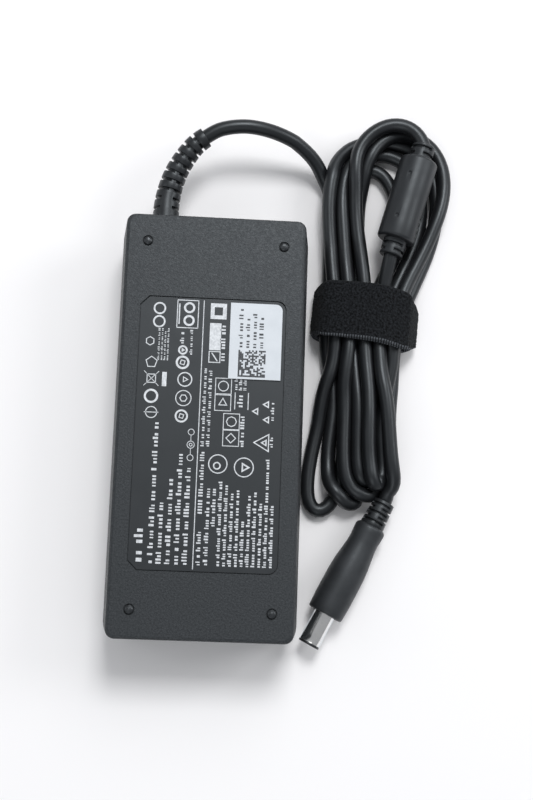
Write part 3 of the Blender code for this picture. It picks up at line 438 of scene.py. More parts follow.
def softened(made, width, segments=2):
    """Small rounded edges, applied, and smooth shading with the sharp steps kept."""
    bpy.ops.object.select_all(action="DESELECT")
    bpy.context.view_layer.objects.active = made
    made.select_set(True)
    if width:
        bevel = made.modifiers.new("edge_round", "BEVEL")
        bevel.width = width
        bevel.segments = segments
        bevel.limit_method = "ANGLE"
        bevel.angle_limit = math.radians(40)
        bpy.ops.object.modifier_apply(modifier=bevel.name)
    bpy.ops.object.shade_smooth_by_angle(angle=math.radians(50))


relief_profile = [
    (RELIEF_LENGTH * step / 22, RELIEF_ROOT + (RELIEF_TIP - RELIEF_ROOT) * step / 22) for step in range(23)
]
strain_relief = lathed("slotted_strain_relief", [*relief_profile, (RELIEF_LENGTH, 0.0028)], 40)
slot_starts = [FIRST_SLOT + number * SLOT_PITCH for number in range(RELIEF_SLOTS)]
cut_slots(strain_relief, [(low, low + SLOT_WIDTH, 90) for low in slot_starts[:ROOT_SLOTS]],
          (ROOT_RIB, SLOT_DEPTH))
cut_slots(strain_relief, [(low, low + SLOT_WIDTH, 100) for low in slot_starts[ROOT_SLOTS:]],
          (0, SHALLOW_CUT), (TIP_RIB, SLOT_DEPTH - SHALLOW_CUT))
softened(strain_relief, 0.00018)

relief_path = bpy.data.objects.new("relief_path", bpy.data.curves.new("relief_path", "CURVE"))
relief_path.data.dimensions = "3D"
relief_path.data.twist_mode = "Z_UP"
relief_spline = relief_path.data.splines.new("POLY")
relief_places = through_points(relief_line, 0.5) / 1000
relief_spline.points.add(len(relief_places) - 1)
for point, place in zip(relief_spline.points, relief_places):
    point.co = (*place, 1)
bpy.context.scene.collection.objects.link(relief_path)
follow = strain_relief.modifiers.new("follow_cord", "CURVE")
follow.object = relief_path
follow.deform_axis = "POS_Z"
bpy.ops.object.modifier_apply(modifier=follow.name)
bpy.data.objects.remove(relief_path)

elastomer, elastomer_tree, elastomer_shader = new_finish("satin_elastomer", (0.0110, 0.0118, 0.0132), 0.40)
on_elastomer = place_in(elastomer_tree)
vary_colour(elastomer_tree, elastomer_shader, on_elastomer, 0.006, (0.0090, 0.0096, 0.0108),
            (0.0150, 0.0160, 0.0178))
vary_roughness(elastomer_tree, elastomer_shader, on_elastomer, 0.003, 0.34, 0.46)
raise_grain(elastomer_tree, elastomer_shader, on_elastomer, 0.00035, 0.00003, 0.35)
strain_relief.data.materials.append(elastomer)
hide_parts("strain_relief")
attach(strain_relief, "root")

# ---- Ferrite choke ----
# A ferrite ring that stays inside, under a thick black elastomer sleeve moulded over it and the cord. The sleeve
# has rounded ends, a short slotted neck at each end, two gate dimples and small vents along its parting line.

CHOKE_RADIUS = 0.0068
CHOKE_NECK = 0.0042
CHOKE_TOTAL = 0.0425
CHOKE_BODY = 0.0310
NECK_LENGTH = (CHOKE_TOTAL - CHOKE_BODY) / 2
CHOKE_EDGE = 0.0012
CHOKE_ROLL = -22


def laid_along(made, start, end, roll=0.0):
    """Turns a body made along Z onto the line from start to end, and applies it, so its object stays unturned."""
    run = Vector(end) - Vector(start)
    made.rotation_mode = "QUATERNION"
    made.rotation_quaternion = run.to_track_quat("Z", "Y") @ Euler((0, 0, math.radians(roll))).to_quaternion()
    made.location = start
    bpy.ops.object.select_all(action="DESELECT")
    bpy.context.view_layer.objects.active = made
    made.select_set(True)
    bpy.ops.object.transform_apply(location=True, rotation=True, scale=True)


choke_edges = [(CHOKE_EDGE * (1 - math.sin(turn)), CHOKE_EDGE * (1 - math.cos(turn)))
               for turn in (0, math.pi / 8, math.pi / 4, 3 * math.pi / 8, math.pi / 2)]
body_end = NECK_LENGTH + CHOKE_BODY
choke_profile = [(0, 0.0032), (0, CHOKE_NECK - 0.0003), (0.0003, CHOKE_NECK), (NECK_LENGTH, CHOKE_NECK)]
choke_profile += [(NECK_LENGTH + up, CHOKE_RADIUS - inward) for up, inward in reversed(choke_edges)]
choke_profile += [(NECK_LENGTH + CHOKE_BODY * share, CHOKE_RADIUS) for share in (0.2, 0.4, 0.6, 0.8)]
choke_profile += [(body_end - up, CHOKE_RADIUS - inward) for up, inward in choke_edges]
choke_profile += [(body_end, CHOKE_NECK), (CHOKE_TOTAL - 0.0003, CHOKE_NECK),
                  (CHOKE_TOTAL, CHOKE_NECK - 0.0003),
                  (CHOKE_TOTAL, 0.0032)]
choke_profile = [pair for pair, before in zip(choke_profile, [None, *choke_profile]) if pair != before]
choke = lathed("choke_sleeve", choke_profile, 48)
cut_slots(choke, [(0.0011, 0.0021, 90), (0.0034, 0.0044, 0),
                  (CHOKE_TOTAL - 0.0044, CHOKE_TOTAL - 0.0034, 90), (CHOKE_TOTAL - 0.0021, CHOKE_TOTAL - 0.0011, 0)],
          (0.0016, 0.0009))

# Two round gate dimples on top and three vents low on one side, cut by short rods and bars
choke_cutters = []
for height in (NECK_LENGTH + 0.24 * CHOKE_BODY, NECK_LENGTH + 0.76 * CHOKE_BODY):
    dimple = lathed("gate_dimple", [(0, 0.00060), (0.0010, 0.00080)], 16)
    dimple.location = (0, CHOKE_RADIUS - 0.00045, height)
    dimple.rotation_euler = (-math.pi / 2, 0, 0)
    choke_cutters.append(dimple)
for number in range(3):
    bpy.ops.object.select_all(action="DESELECT")
    bpy.ops.mesh.primitive_cube_add(size=1, location=(0, 0, 0))
    vent = bpy.context.object
    vent.scale = (0.0012, 0.0008, 0.0018)
    vent.location = (0.0001 - CHOKE_RADIUS, 0, NECK_LENGTH + 0.0035 + number * 0.0027)
    choke_cutters.append(vent)
for cutter in choke_cutters:
    sink = choke.modifiers.new("sink", "BOOLEAN")
    sink.operation = "DIFFERENCE"
    sink.object = cutter
    bpy.ops.object.select_all(action="DESELECT")
    bpy.context.view_layer.objects.active = choke
    choke.select_set(True)
    bpy.ops.object.modifier_apply(modifier=sink.name)
    bpy.data.objects.remove(cutter)
softened(choke, 0.00012)
laid_along(choke, Vector(CHOKE_BOTTOM) / 1000, Vector(CHOKE_TOP) / 1000, CHOKE_ROLL)

sleeve, sleeve_tree, sleeve_shader = new_finish("matt_sleeve", (0.0130, 0.0140, 0.0158), 0.44)
on_sleeve = place_in(sleeve_tree)
vary_colour(sleeve_tree, sleeve_shader, on_sleeve, 0.012, (0.0110, 0.0118, 0.0134), (0.0150, 0.0162, 0.0182))
vary_roughness(sleeve_tree, sleeve_shader, on_sleeve, 0.005, 0.40, 0.48)
raise_grain(sleeve_tree, sleeve_shader, on_sleeve, 0.0003, 0.00002, 0.35)
choke.data.materials.append(sleeve)
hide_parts("choke_overmould")
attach(choke, "root")

# ---- Barrel plug ----
# The cord's end in a slotted relief and a waisted boot of black elastomer, moulded in one shot over the plug's
# insert. A nickel-plated barrel stands out of it, with a black lining inside and a thin signal pin in the middle.

PLUG_START = Vector((0.0624, -0.0220, 0.0065))
PLUG_TIP = Vector((0.0372, -0.0716, 0.0066))
PLUG_TOTAL = (PLUG_TIP - PLUG_START).length
PLUG_NECK = 0.0096
PLUG_FACE = PLUG_TOTAL - 0.0118
BOOT_SHOULDER = 0.0054
BOOT_RIM = 0.00645
BARREL_RADIUS = 0.0037

neck_profile = [(PLUG_NECK * step / 10, 0.0037 + 0.0006 * step / 10) for step in range(11)]
plug_neck = lathed("slotted_plug_relief", [(0, 0.0027), *neck_profile], 32)
cut_slots(plug_neck, [(low, low + 0.0008, rib) for low, rib in
                      ((0.0011, 0), (0.0027, 90), (0.0043, 0), (0.0059, 90), (0.0075, 0))],
          (0.0013, 0.0009))
softened(plug_neck, 0.00012)

boot_profile = [(PLUG_NECK - 0.0002, 0.0040), (PLUG_NECK, BOOT_SHOULDER - 0.0011)]
boot_profile += [(PLUG_NECK + 0.0014 * (1 - math.cos(turn)), BOOT_SHOULDER - 0.0011 + 0.0011 * math.sin(turn))
                 for turn in (math.pi / 8, math.pi / 4, 3 * math.pi / 8, math.pi / 2)]
boot_profile += [(PLUG_NECK + 0.0030, 0.00535), (PLUG_NECK + 0.0055, 0.00515), (PLUG_NECK + 0.0080, 0.00525),
                 (PLUG_NECK + 0.0110, 0.00565), (PLUG_NECK + 0.0145, 0.00612), (PLUG_NECK + 0.0180, 0.00638),
                 (PLUG_NECK + 0.0215, BOOT_RIM), (PLUG_FACE - 0.0060, BOOT_RIM), (PLUG_FACE - 0.0025,
                                                                                  BOOT_RIM - 0.0001),
                 (PLUG_FACE - 0.0007, BOOT_RIM - 0.0002), (PLUG_FACE - 0.0002, BOOT_RIM - 0.0004),
                 (PLUG_FACE, BOOT_RIM - 0.0008), (PLUG_FACE, 0.0042), (PLUG_FACE - 0.0006, 0.0040),
                 (PLUG_FACE - 0.0006, BARREL_RADIUS + 0.00003), (PLUG_FACE - 0.0048, BARREL_RADIUS + 0.00003)]
boot = lathed("plug_grip", boot_profile, 48)
softened(boot, 0.0)

BARREL_TIP = PLUG_TOTAL - 0.0008
barrel_profile = [(PLUG_FACE - 0.0046, 0.0030), (PLUG_FACE - 0.0046, BARREL_RADIUS),
                  (PLUG_FACE + 0.004, BARREL_RADIUS),
                  (PLUG_FACE + 0.008, BARREL_RADIUS), (BARREL_TIP - 0.0002, BARREL_RADIUS),
                  (BARREL_TIP, BARREL_RADIUS - 0.0001), (BARREL_TIP, 0.0030), (PLUG_FACE - 0.0046, 0.0030)]
barrel = lathed("plated_barrel", barrel_profile, 56, ring=True)
softened(barrel, 0.0)
lip = [(BARREL_TIP + 0.00002, 0.00297), (BARREL_TIP + 0.00002, BARREL_RADIUS),
       (BARREL_TIP + 0.0002, BARREL_RADIUS + 0.00012),
       (PLUG_TOTAL - 0.0002, BARREL_RADIUS + 0.00012), (PLUG_TOTAL, BARREL_RADIUS - 0.0001), (PLUG_TOTAL,
                                                                                              0.0027),
       (PLUG_TOTAL - 0.0003, 0.0023)]
lining_profile = [(PLUG_FACE - 0.0040, 0.00045), (PLUG_FACE - 0.0040, 0.00297), *lip,
                  (PLUG_FACE - 0.0020, 0.0023),
                  (PLUG_FACE - 0.0020, 0.00045), (PLUG_FACE - 0.0040, 0.00045)]
lining = lathed("barrel_lining", lining_profile, 40, ring=True)
softened(lining, 0.0)
pin_profile = [(PLUG_FACE - 0.0042, 0.00035), (PLUG_TOTAL - 0.0019, 0.00035), (PLUG_TOTAL - 0.0016, 0.00028),
               (PLUG_TOTAL - 0.0015, 0.00012)]
plug_pin = lathed("signal_pin", pin_profile, 16)
softened(plug_pin, 0.0)

plating, plating_tree, plating_shader = new_finish("bright_plating", (0.82, 0.82, 0.81), 0.14, 1.0)
on_plating = place_in(plating_tree)
vary_colour(plating_tree, plating_shader, on_plating, 0.004, (0.78, 0.78, 0.78), (0.87, 0.865, 0.855))
vary_roughness(plating_tree, plating_shader, on_plating, 0.0015, 0.10, 0.19)
raise_grain(plating_tree, plating_shader, on_plating, 0.0006, 0.00001, 0.10)
insulator, insulator_tree, insulator_shader = new_finish("black_insulator", (0.010, 0.010, 0.011), 0.35)
on_insulator = place_in(insulator_tree)
vary_colour(insulator_tree, insulator_shader, on_insulator, 0.002, (0.009, 0.009, 0.010),
            (0.013, 0.013, 0.014))
vary_roughness(insulator_tree, insulator_shader, on_insulator, 0.001, 0.30, 0.42)

# The boot gets a lighter copy of the elastomer moulded with it: painted light, brightening it against the shade it
# lies in.
grip, grip_tree, grip_shader = new_finish("elastomer_painted_lighter", (0.0200, 0.0215, 0.0240), 0.48)
on_grip = place_in(grip_tree)
vary_colour(grip_tree, grip_shader, on_grip, 0.005, (0.0180, 0.0194, 0.0216), (0.0235, 0.0252, 0.0280))
vary_roughness(grip_tree, grip_shader, on_grip, 0.003, 0.44, 0.54)
raise_grain(grip_tree, grip_shader, on_grip, 0.00035, 0.00004, 0.45)
for piece, node, paint, slot in ((plug_neck, "plug_relief", elastomer, "overmould"),
                                 (boot, "plug_boot", grip, "overmould"),
                                 (barrel, "plug_barrel", plating, "plated_metal"),
                                 (lining, "plug_lining", insulator, "black_moulding"),
                                 (plug_pin, "plug_centre_pin", plating, "plated_metal")):
    laid_along(piece, PLUG_START, PLUG_TIP, 20)
    piece.data.materials.append(paint)
    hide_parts(node)
    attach(piece, "root")

# ---- Hook-and-loop strap ----
# One length of 20 mm black hook-and-loop tape: a napped face with woven selvedges. It is wound tightly once and a
# half round the hank, over itself, and its free end is pressed down on the right. Nothing else holds the hank.

STRAP_WIDTH = 0.0200
STRAP_THICKNESS = 0.0013
STRAP_MIDDLE = np.array([0.0537, 0.0442])
STRAP_TURN = math.radians(-4)
STRAP_SPACING = 0.0005
STRAP_DIP = 0.0020
STRAP_ROUNDING = 0.0045
STRAP_STEPS = 720
# In degrees round the hank: where the tape starts, how far it is wound, and where it climbs onto its first turn
STRAP_START = -100
STRAP_WINDING = 560
STRAP_CLIMB_START = 300
STRAP_CLIMB = 60

strap_across = np.array([math.cos(STRAP_TURN), math.sin(STRAP_TURN)])
strap_along = np.array([-math.sin(STRAP_TURN), math.cos(STRAP_TURN)])
flat_places = cord_points[:, :2] - STRAP_MIDDLE
under_strap = np.abs(flat_places @ strap_along) < STRAP_WIDTH / 2 + 0.001
runs_inside = np.column_stack([flat_places[under_strap] @ strap_across, cord_points[under_strap, 2]])
runs_inside = runs_inside[np.abs(runs_inside[:, 0]) < 0.022]


def wound(turn, layer):
    """A point of the strap's middle line: round the outermost cord run in that direction."""
    way = np.array([math.cos(turn), math.sin(turn)])
    outermost = runs_inside[np.argmax(runs_inside @ way)]
    return outermost + (CORD_DIAMETER / 2 + STRAP_THICKNESS * (0.55 + 1.02 * layer)) * way


strap_line = []
for step in range(STRAP_STEPS):
    wound_so_far = STRAP_WINDING * (step / (STRAP_STEPS - 1))
    turn = math.radians(STRAP_START - wound_so_far)
    layer = min(1.0, max(0.0, (wound_so_far - STRAP_CLIMB_START) / STRAP_CLIMB))
    strap_line.append([*wound(turn, layer), 0])
strap_line = evened(np.array(strap_line) * 1000, STRAP_SPACING * 1000) / 1000
for _ in range(6):
    strap_line[1:-1] += 0.5 * ((strap_line[2:] + strap_line[:-2]) / 2 - strap_line[1:-1])
strap_line[:, 1] = np.maximum(strap_line[:, 1], 0.0007)

strap_mesh = bmesh.new()
strap_uv = strap_mesh.loops.layers.uv.new("along")
forward = np.gradient(strap_line[:, :2], axis=0)
forward /= np.linalg.norm(forward, axis=1)[:, None]
outward = np.column_stack([-forward[:, 1], forward[:, 0]])
widths = np.linspace(-STRAP_WIDTH / 2, STRAP_WIDTH / 2, 34)
section = [(width, 1) for width in widths] + [(width, -1) for width in reversed(widths)]
strap_rings = []
for step, (place, out) in enumerate(zip(strap_line[:, :2], outward)):
    ring = []
    narrowing = 1 - STRAP_ROUNDING * max(0.0, (abs(place[0]) - 0.0130) / 0.0050) ** 2 / STRAP_WIDTH
    for width, face in section:
        edge = max(0.0, (abs(width) - STRAP_WIDTH / 2 + 0.0008) / 0.0008)
        half = STRAP_THICKNESS / 2 * (1 - 0.55 * edge**2)
        nap = 0.00028 * noise.noise((width * 900, step * STRAP_SPACING * 900, 3.0 * face)) * (1 - edge)
        local = place + out * face * (half + nap)
        dip = -STRAP_DIP * max(0.0, local[0] / 0.017) ** 2 if local[1] > 0.004 else -STRAP_DIP * 0.8 * (
            max(0.0, local[0] / 0.017) ** 2)
        wave = 0.0003 * math.sin(step * STRAP_SPACING * 120)
        flat = STRAP_MIDDLE + strap_across * local[0] + strap_along * (width * narrowing + dip + wave)
        ring.append(strap_mesh.verts.new((flat[0], flat[1], max(local[1], 0.00005))))
    strap_rings.append(ring)
count = len(section)
for step, (near, far) in enumerate(zip(strap_rings, strap_rings[1:])):
    for side in range(count):
        after = (side + 1) % count
        face = strap_mesh.faces.new((near[side], far[side], far[after], near[after]))
        face.smooth = True
        across_places = (section[side][0], section[side][0], section[after][0], section[after][0])
        for loop, place, ahead in zip(face.loops, across_places, (0, 1, 1, 0)):
            loop[strap_uv].uv = (place, (step + ahead) * STRAP_SPACING)
strap_mesh.faces.new(strap_rings[0])
strap_mesh.faces.new(list(reversed(strap_rings[-1])))
bmesh.ops.recalc_face_normals(strap_mesh, faces=strap_mesh.faces)
strap_data = bpy.data.meshes.new("hook_and_loop_strap")
strap_mesh.to_mesh(strap_data)
strap_mesh.free()
strap = bpy.data.objects.new("hook_and_loop_strap", strap_data)
bpy.context.scene.collection.objects.link(strap)

nap, nap_tree, nap_shader = new_finish("napped_tape", (0.008, 0.0088, 0.0100), 0.95)
nap_shader.inputs["Specular IOR Level"].default_value = 0.1
nap_shader.inputs["Sheen Weight"].default_value = 0.04
nap_shader.inputs["Sheen Roughness"].default_value = 0.6
on_tape = place_in(nap_tree, "UV")
tuft = vary_colour(nap_tree, nap_shader, on_tape, 0.00075, (0.0006, 0.0007, 0.0009),
                   (0.0165, 0.0184, 0.0212), 4)
raise_grain(nap_tree, nap_shader, on_tape, 0.00060, 0.00060, 1.0, 4)
split = add_node(nap_tree, "ShaderNodeSeparateXYZ")
at_edge = add_node(nap_tree, "ShaderNodeMapRange")
for name, value in (("From Min", -0.0091), ("From Max", -0.0094), ("To Min", 0.0), ("To Max", 1.0)):
    at_edge.inputs[name].default_value = value
stitches = add_node(nap_tree, "ShaderNodeTexWave", Scale=1 / 0.0030, Distortion=0.6)
stitches.bands_direction = "Y"
yarn = add_node(nap_tree, "ShaderNodeMath", operation="MULTIPLY")
selvedge = add_node(nap_tree, "ShaderNodeMix", data_type="RGBA")
selvedge.inputs[7].default_value = (0.12, 0.13, 0.145, 1)
nap_tree.links.new(on_tape, split.inputs["Vector"])
nap_tree.links.new(split.outputs["X"], at_edge.inputs["Value"])
nap_tree.links.new(on_tape, stitches.inputs["Vector"])
nap_tree.links.new(stitches.outputs["Fac"], yarn.inputs[0])
nap_tree.links.new(at_edge.outputs["Result"], yarn.inputs[1])
nap_tree.links.new(yarn.outputs["Value"], selvedge.inputs[0])
nap_tree.links.new(tuft.outputs["Color"], selvedge.inputs[6])
nap_tree.links.new(selvedge.outputs[2], nap_shader.inputs["Base Color"])
strap.data.materials.append(nap)
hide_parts("cord_strap")
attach(strap, "root")

# ---- Case and feet ----
# Two injection-moulded covers of black flame-retardant plastic with a fine spark-eroded grain, lapped and welded
# at the seam. Four domed feet are moulded on the label side, each in a shallow ring.


def refinish(paint, *names):
    """Gives CAD nodes a better material."""
    for name in names:
        for place in nodes[name].material_slots:
            place.material = paint


grained, grained_tree, grained_shader = new_finish("grained_case", (0.0125, 0.0138, 0.0155), 0.50)
on_case = place_in(grained_tree)
vary_colour(grained_tree, grained_shader, on_case, 0.00060, (0.0085, 0.0095, 0.0110),
            (0.0250, 0.0275, 0.0305), 3)
vary_roughness(grained_tree, grained_shader, on_case, 0.0009, 0.44, 0.58)
raise_grain(grained_tree, grained_shader, on_case, 0.00048, 0.00009, 0.85, 3)
refinish(grained, "label_side_cover", "plain_side_cover")

domed, domed_tree, domed_shader = new_finish("worn_foot", (0.0150, 0.0162, 0.0180), 0.36)
on_foot = place_in(domed_tree)
vary_colour(domed_tree, domed_shader, on_foot, 0.0008, (0.0120, 0.0130, 0.0145), (0.0200, 0.0215, 0.0240))
vary_roughness(domed_tree, domed_shader, on_foot, 0.0006, 0.30, 0.42)
raise_grain(domed_tree, domed_shader, on_foot, 0.0004, 0.00005, 0.4)
refinish(domed, "foot_1", "foot_2", "foot_3", "foot_4")

# ---- Rating label ----
# A dark grey polyester film stuck in its recess, printed in pale ink with rows of words, small symbols and one
# long rule. The words here are plain bars and the symbols are plain rings, squares and triangles.

INK_RISE = 0.00002
INK_THICKNESS = 0.00001

film, film_tree, film_shader = new_finish("printed_film", (0.0125, 0.0137, 0.0155), 0.46)
on_film = place_in(film_tree)
vary_colour(film_tree, film_shader, on_film, 0.018, (0.0112, 0.0124, 0.0140), (0.0142, 0.0156, 0.0176))
vary_roughness(film_tree, film_shader, on_film, 0.006, 0.42, 0.50)
raise_grain(film_tree, film_shader, on_film, 0.0012, 0.00002, 0.25)
refinish(film, "rating_label")

label_low, label_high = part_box("rating_label")
label_centre = (label_low + label_high) / 2
chance = random.Random(7)


def new_print(name, height):
    """An empty flat print, opened in edit mode at that height."""
    bpy.ops.object.select_all(action="DESELECT")
    bpy.ops.mesh.primitive_plane_add(size=0.001)
    made = start_edit(name)
    bpy.ops.mesh.select_all(action="SELECT")
    bpy.ops.mesh.delete(type="VERT")
    made["height"] = height
    return made


def add_bar(made, x, y, width, length, turn=0.0):
    """One printed bar: a rectangle of that width along X and length along Y."""
    bpy.ops.mesh.primitive_plane_add(size=1, location=(x, y, made["height"]))
    bpy.ops.transform.resize(value=(width, length, 1), center_override=(x, y, made["height"]))
    if turn:
        bpy.ops.transform.rotate(value=-math.radians(turn), orient_axis="Z",
                                 center_override=(x, y, made["height"]))


def add_ring(made, x, y, radius, stroke, corners=24, turn=0.0):
    """One printed outline: a ring, or a triangle or square when it has few corners."""
    bpy.ops.mesh.primitive_circle_add(vertices=corners, radius=radius, fill_type="NGON",
                                      location=(x, y, made["height"]))
    if turn:
        bpy.ops.transform.rotate(value=-math.radians(turn), orient_axis="Z",
                                 center_override=(x, y, made["height"]))
    bpy.ops.mesh.inset(thickness=stroke, use_boundary=True)
    bpy.ops.mesh.delete(type="FACE")


def add_words(made, x, start, end, size, shortest=0.0012, longest=0.0055, boldness=0.42):
    """A column of word-like bars from start to end along Y, in letters of that size."""
    y = start
    while y < end - shortest:
        length = min(chance.uniform(shortest, longest), end - y)
        letters = max(1, round(length / (size * 0.62)))
        for letter in range(letters):
            tall = size * chance.choice((0.62, 0.66, 0.95))
            add_bar(made, x + (size - tall) / 2, y + (letter + 0.5) * length / letters,
                    tall, length / letters * chance.uniform(boldness, boldness + 0.25))
        y += length + size * 0.55


def finish_print(made, paint):
    """Closes the edit and gives the ink its thickness."""
    bpy.ops.object.mode_set(mode="OBJECT")
    ink_film = made.modifiers.new("ink_film", "SOLIDIFY")
    ink_film.thickness = INK_THICKNESS
    ink_film.offset = 1
    bpy.ops.object.modifier_apply(modifier=ink_film.name)
    del made["height"]
    made.data.materials.append(paint)
    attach(made, "root")


ink = new_print("label_print", label_high.z + INK_RISE)
cx, cy = label_centre.x, label_centre.y
half_y = (label_high.y - label_low.y) / 2
bottom = cy - half_y + 0.0015

# The long rule between the two columns of print
add_bar(ink, cx - 0.0032, cy, 0.00028, 2 * half_y - 0.0012)

# Lower left: a heading in large letters, then five rows of words
add_words(ink, cx - 0.0213, bottom + 0.0005, bottom + 0.0160, 0.0030, 0.0030, 0.0075, 0.45)
for row, end in enumerate((0.0470, 0.0206, 0.0284, 0.0367, 0.0322)):
    add_words(ink, cx - 0.0173 + 0.0028 * row, bottom + 0.0003, bottom + end, 0.0018)
# Two circles joined by a line, for the plug's polarity
for y, radius in ((0.0354, 0.0011), (0.0397, 0.0013), (0.0397, 0.0006), (0.0439, 0.0011)):
    add_ring(ink, cx - 0.0056, bottom + y, radius, 0.00022)
for y in (0.03745, 0.0419):
    add_bar(ink, cx - 0.0056, bottom + y, 0.00018, 0.0018)

# Upper left: a column of symbols with a pale block and fine print, then a column of round marks
add_ring(ink, cx - 0.0191, bottom + 0.0500, 0.0020, 0.0003)
add_bar(ink, cx - 0.0191, bottom + 0.0500, 0.0048, 0.0003)
add_ring(ink, cx - 0.0194, bottom + 0.0554, 0.0024, 0.0007)
add_ring(ink, cx - 0.0196, bottom + 0.0613, 0.0022, 0.0003, 4, 45)
for turn in (45, -45):
    add_bar(ink, cx - 0.0196, bottom + 0.0613, 0.00022, 0.0070, turn)
add_bar(ink, cx - 0.0153, bottom + 0.0612, 0.0015, 0.0048)
add_ring(ink, cx - 0.0198, bottom + 0.0668, 0.0021, 0.0003, 5)
add_ring(ink, cx - 0.0206, bottom + 0.0739, 0.0016, 0.0003, 6)
for row in range(4):
    add_words(ink, cx - 0.0177 + 0.0010 * row, bottom + 0.0675, bottom + 0.0785, 0.0007, 0.0008, 0.0018)
for x, y, radius, stroke, corners in ((0.0091, 0.0491, 0.0022, 0.0006, 4),
                                      (0.0087, 0.0551, 0.0027, 0.0003, 6),
                                      (0.0085, 0.0614, 0.0025, 0.0004, 3), (0.0095, 0.0671, 0.0023, 0.0007,
                                                                            4),
                                      (0.0096, 0.0713, 0.0016, 0.0006, 3)):
    add_ring(ink, cx - x, bottom + y, radius, stroke)
    add_ring(ink, cx - x, bottom + y, radius / 2, 0.0003, corners, 30)
add_words(ink, cx - 0.0101, bottom + 0.0733, bottom + 0.0778, 0.0014, 0.0010, 0.0026)
add_words(ink, cx - 0.0070, bottom + 0.0697, bottom + 0.0785, 0.0010, 0.0010, 0.0026)
# Two large rings and one framed seal at the top
for y in (0.0807, 0.0852):
    add_ring(ink, cx - 0.0179, bottom + y, 0.0021, 0.00055, 20)
for side in (-1, 1):
    add_bar(ink, cx - 0.0085 + side * 0.0035, bottom + 0.0836, 0.0003, 0.0094)
    add_bar(ink, cx - 0.0085, bottom + 0.0836 + side * 0.0047, 0.0073, 0.0003)
    add_ring(ink, cx - 0.0080, bottom + 0.0836 + side * 0.0022, 0.0019, 0.0007, 20)
add_bar(ink, cx - 0.0113, bottom + 0.0836, 0.0004, 0.0070)

# Lower right: four rows in larger letters, then ten rows of fine print
for x, start, end in ((-0.0017, 0.0003, 0.0117), (-0.0017, 0.0170, 0.0380), (0.0007, 0.0003, 0.0274),
                      (0.0026, 0.0130, 0.0274)):
    add_words(ink, cx + x, bottom + start, bottom + end, 0.0015)
for row, end in enumerate((0.0281, 0.0269, 0.0243, 0.0273, 0.0157, 0.0238, 0.0250, 0.0215, 0.0369, 0.0207)):
    add_words(ink, cx + 0.0047 + 0.0019 * row, bottom + 0.0003, bottom + end, 0.0013, 0.0012, 0.0048, 0.5)
# Right middle: two rings, two framed pairs of symbols, triangles and short rows between them
for row in range(2):
    add_words(ink, cx - 0.0019 + 0.0018 * row, bottom + 0.0392, bottom + 0.0655, 0.0012, 0.0010, 0.0030)
add_ring(ink, cx + 0.0036, bottom + 0.0337, 0.0032, 0.00035)
add_ring(ink, cx + 0.0033, bottom + 0.0331, 0.0013, 0.00045, 16)
add_ring(ink, cx + 0.0122, bottom + 0.0329, 0.0033, 0.00035)
add_ring(ink, cx + 0.0124, bottom + 0.0329, 0.0019, 0.0005, 3, -90)
for x, y, corners in ((0.0044, 0.0541, 3), (0.0044, 0.0597, 24), (0.0075, 0.0424, 4), (0.0075, 0.0479, 8)):
    add_ring(ink, cx + x, bottom + y, 0.0039, 0.00025, 4, 45)
    add_ring(ink, cx + x, bottom + y, 0.0018, 0.0003, corners)
add_words(ink, cx + 0.0111, bottom + 0.0395, bottom + 0.0500, 0.0014)
for x in (0.0084, 0.0128):
    add_bar(ink, cx + x, bottom + 0.0549, 0.0003, 0.0057)
add_words(ink, cx + 0.0100, bottom + 0.0526, bottom + 0.0573, 0.0020, 0.0020, 0.0048, 0.45)
for row in range(3):
    add_words(ink, cx + 0.0085 + 0.0015 * row, bottom + 0.0584, bottom + 0.0626, 0.0011, 0.0010, 0.0030)
for x, y in ((0.0155, 0.0517), (0.0190, 0.0541), (0.0192, 0.0490)):
    add_ring(ink, cx + x, bottom + y, 0.0015, 0.0004, 3, 90)
add_words(ink, cx + 0.0209, bottom + 0.0486, bottom + 0.0554, 0.0012, 0.0010, 0.0030)
add_ring(ink, cx + 0.0184, bottom + 0.0413, 0.0036, 0.00035, 3, 90)
add_ring(ink, cx + 0.0187, bottom + 0.0413, 0.0014, 0.0004, 3, 90)
add_words(ink, cx + 0.0209, bottom + 0.0397, bottom + 0.0433, 0.0011, 0.0010, 0.0020)
# Right top, beside the sticker: a pale square ring, a pale plate, a framed stroke and a row of digit-like bars
add_ring(ink, cx + 0.0018, bottom + 0.0850, 0.0038, 0.0013, 4, 45)
add_bar(ink, cx + 0.0010, bottom + 0.0763, 0.0038, 0.0092)
add_ring(ink, cx + 0.0010, bottom + 0.0694, 0.0028, 0.0003, 4, 45)
add_bar(ink, cx + 0.0010, bottom + 0.0694, 0.0004, 0.0034, 35)
add_words(ink, cx + 0.0035, bottom + 0.0679, bottom + 0.0805, 0.0018, 0.0020, 0.0060, 0.45)

pale_ink, ink_tree, ink_shader = new_finish("pale_ink", (0.60, 0.625, 0.655), 0.5)
on_ink = place_in(ink_tree)
vary_colour(ink_tree, ink_shader, on_ink, 0.0009, (0.50, 0.52, 0.545), (0.68, 0.705, 0.735))
vary_roughness(ink_tree, ink_shader, on_ink, 0.001, 0.42, 0.55)
finish_print(ink, pale_ink)

# ---- Code sticker ----
# A small white paper sticker on the label's corner, with a square of printed dots and four rows of fine print.
# The dots are scattered at random, so they hold no code.

paper, paper_tree, paper_shader = new_finish("coated_paper", (0.58, 0.615, 0.655), 0.5)
on_paper = place_in(paper_tree)
vary_colour(paper_tree, paper_shader, on_paper, 0.004, (0.565, 0.60, 0.64), (0.60, 0.635, 0.675))
vary_roughness(paper_tree, paper_shader, on_paper, 0.002, 0.42, 0.56)
raise_grain(paper_tree, paper_shader, on_paper, 0.0005, 0.00001, 0.2)

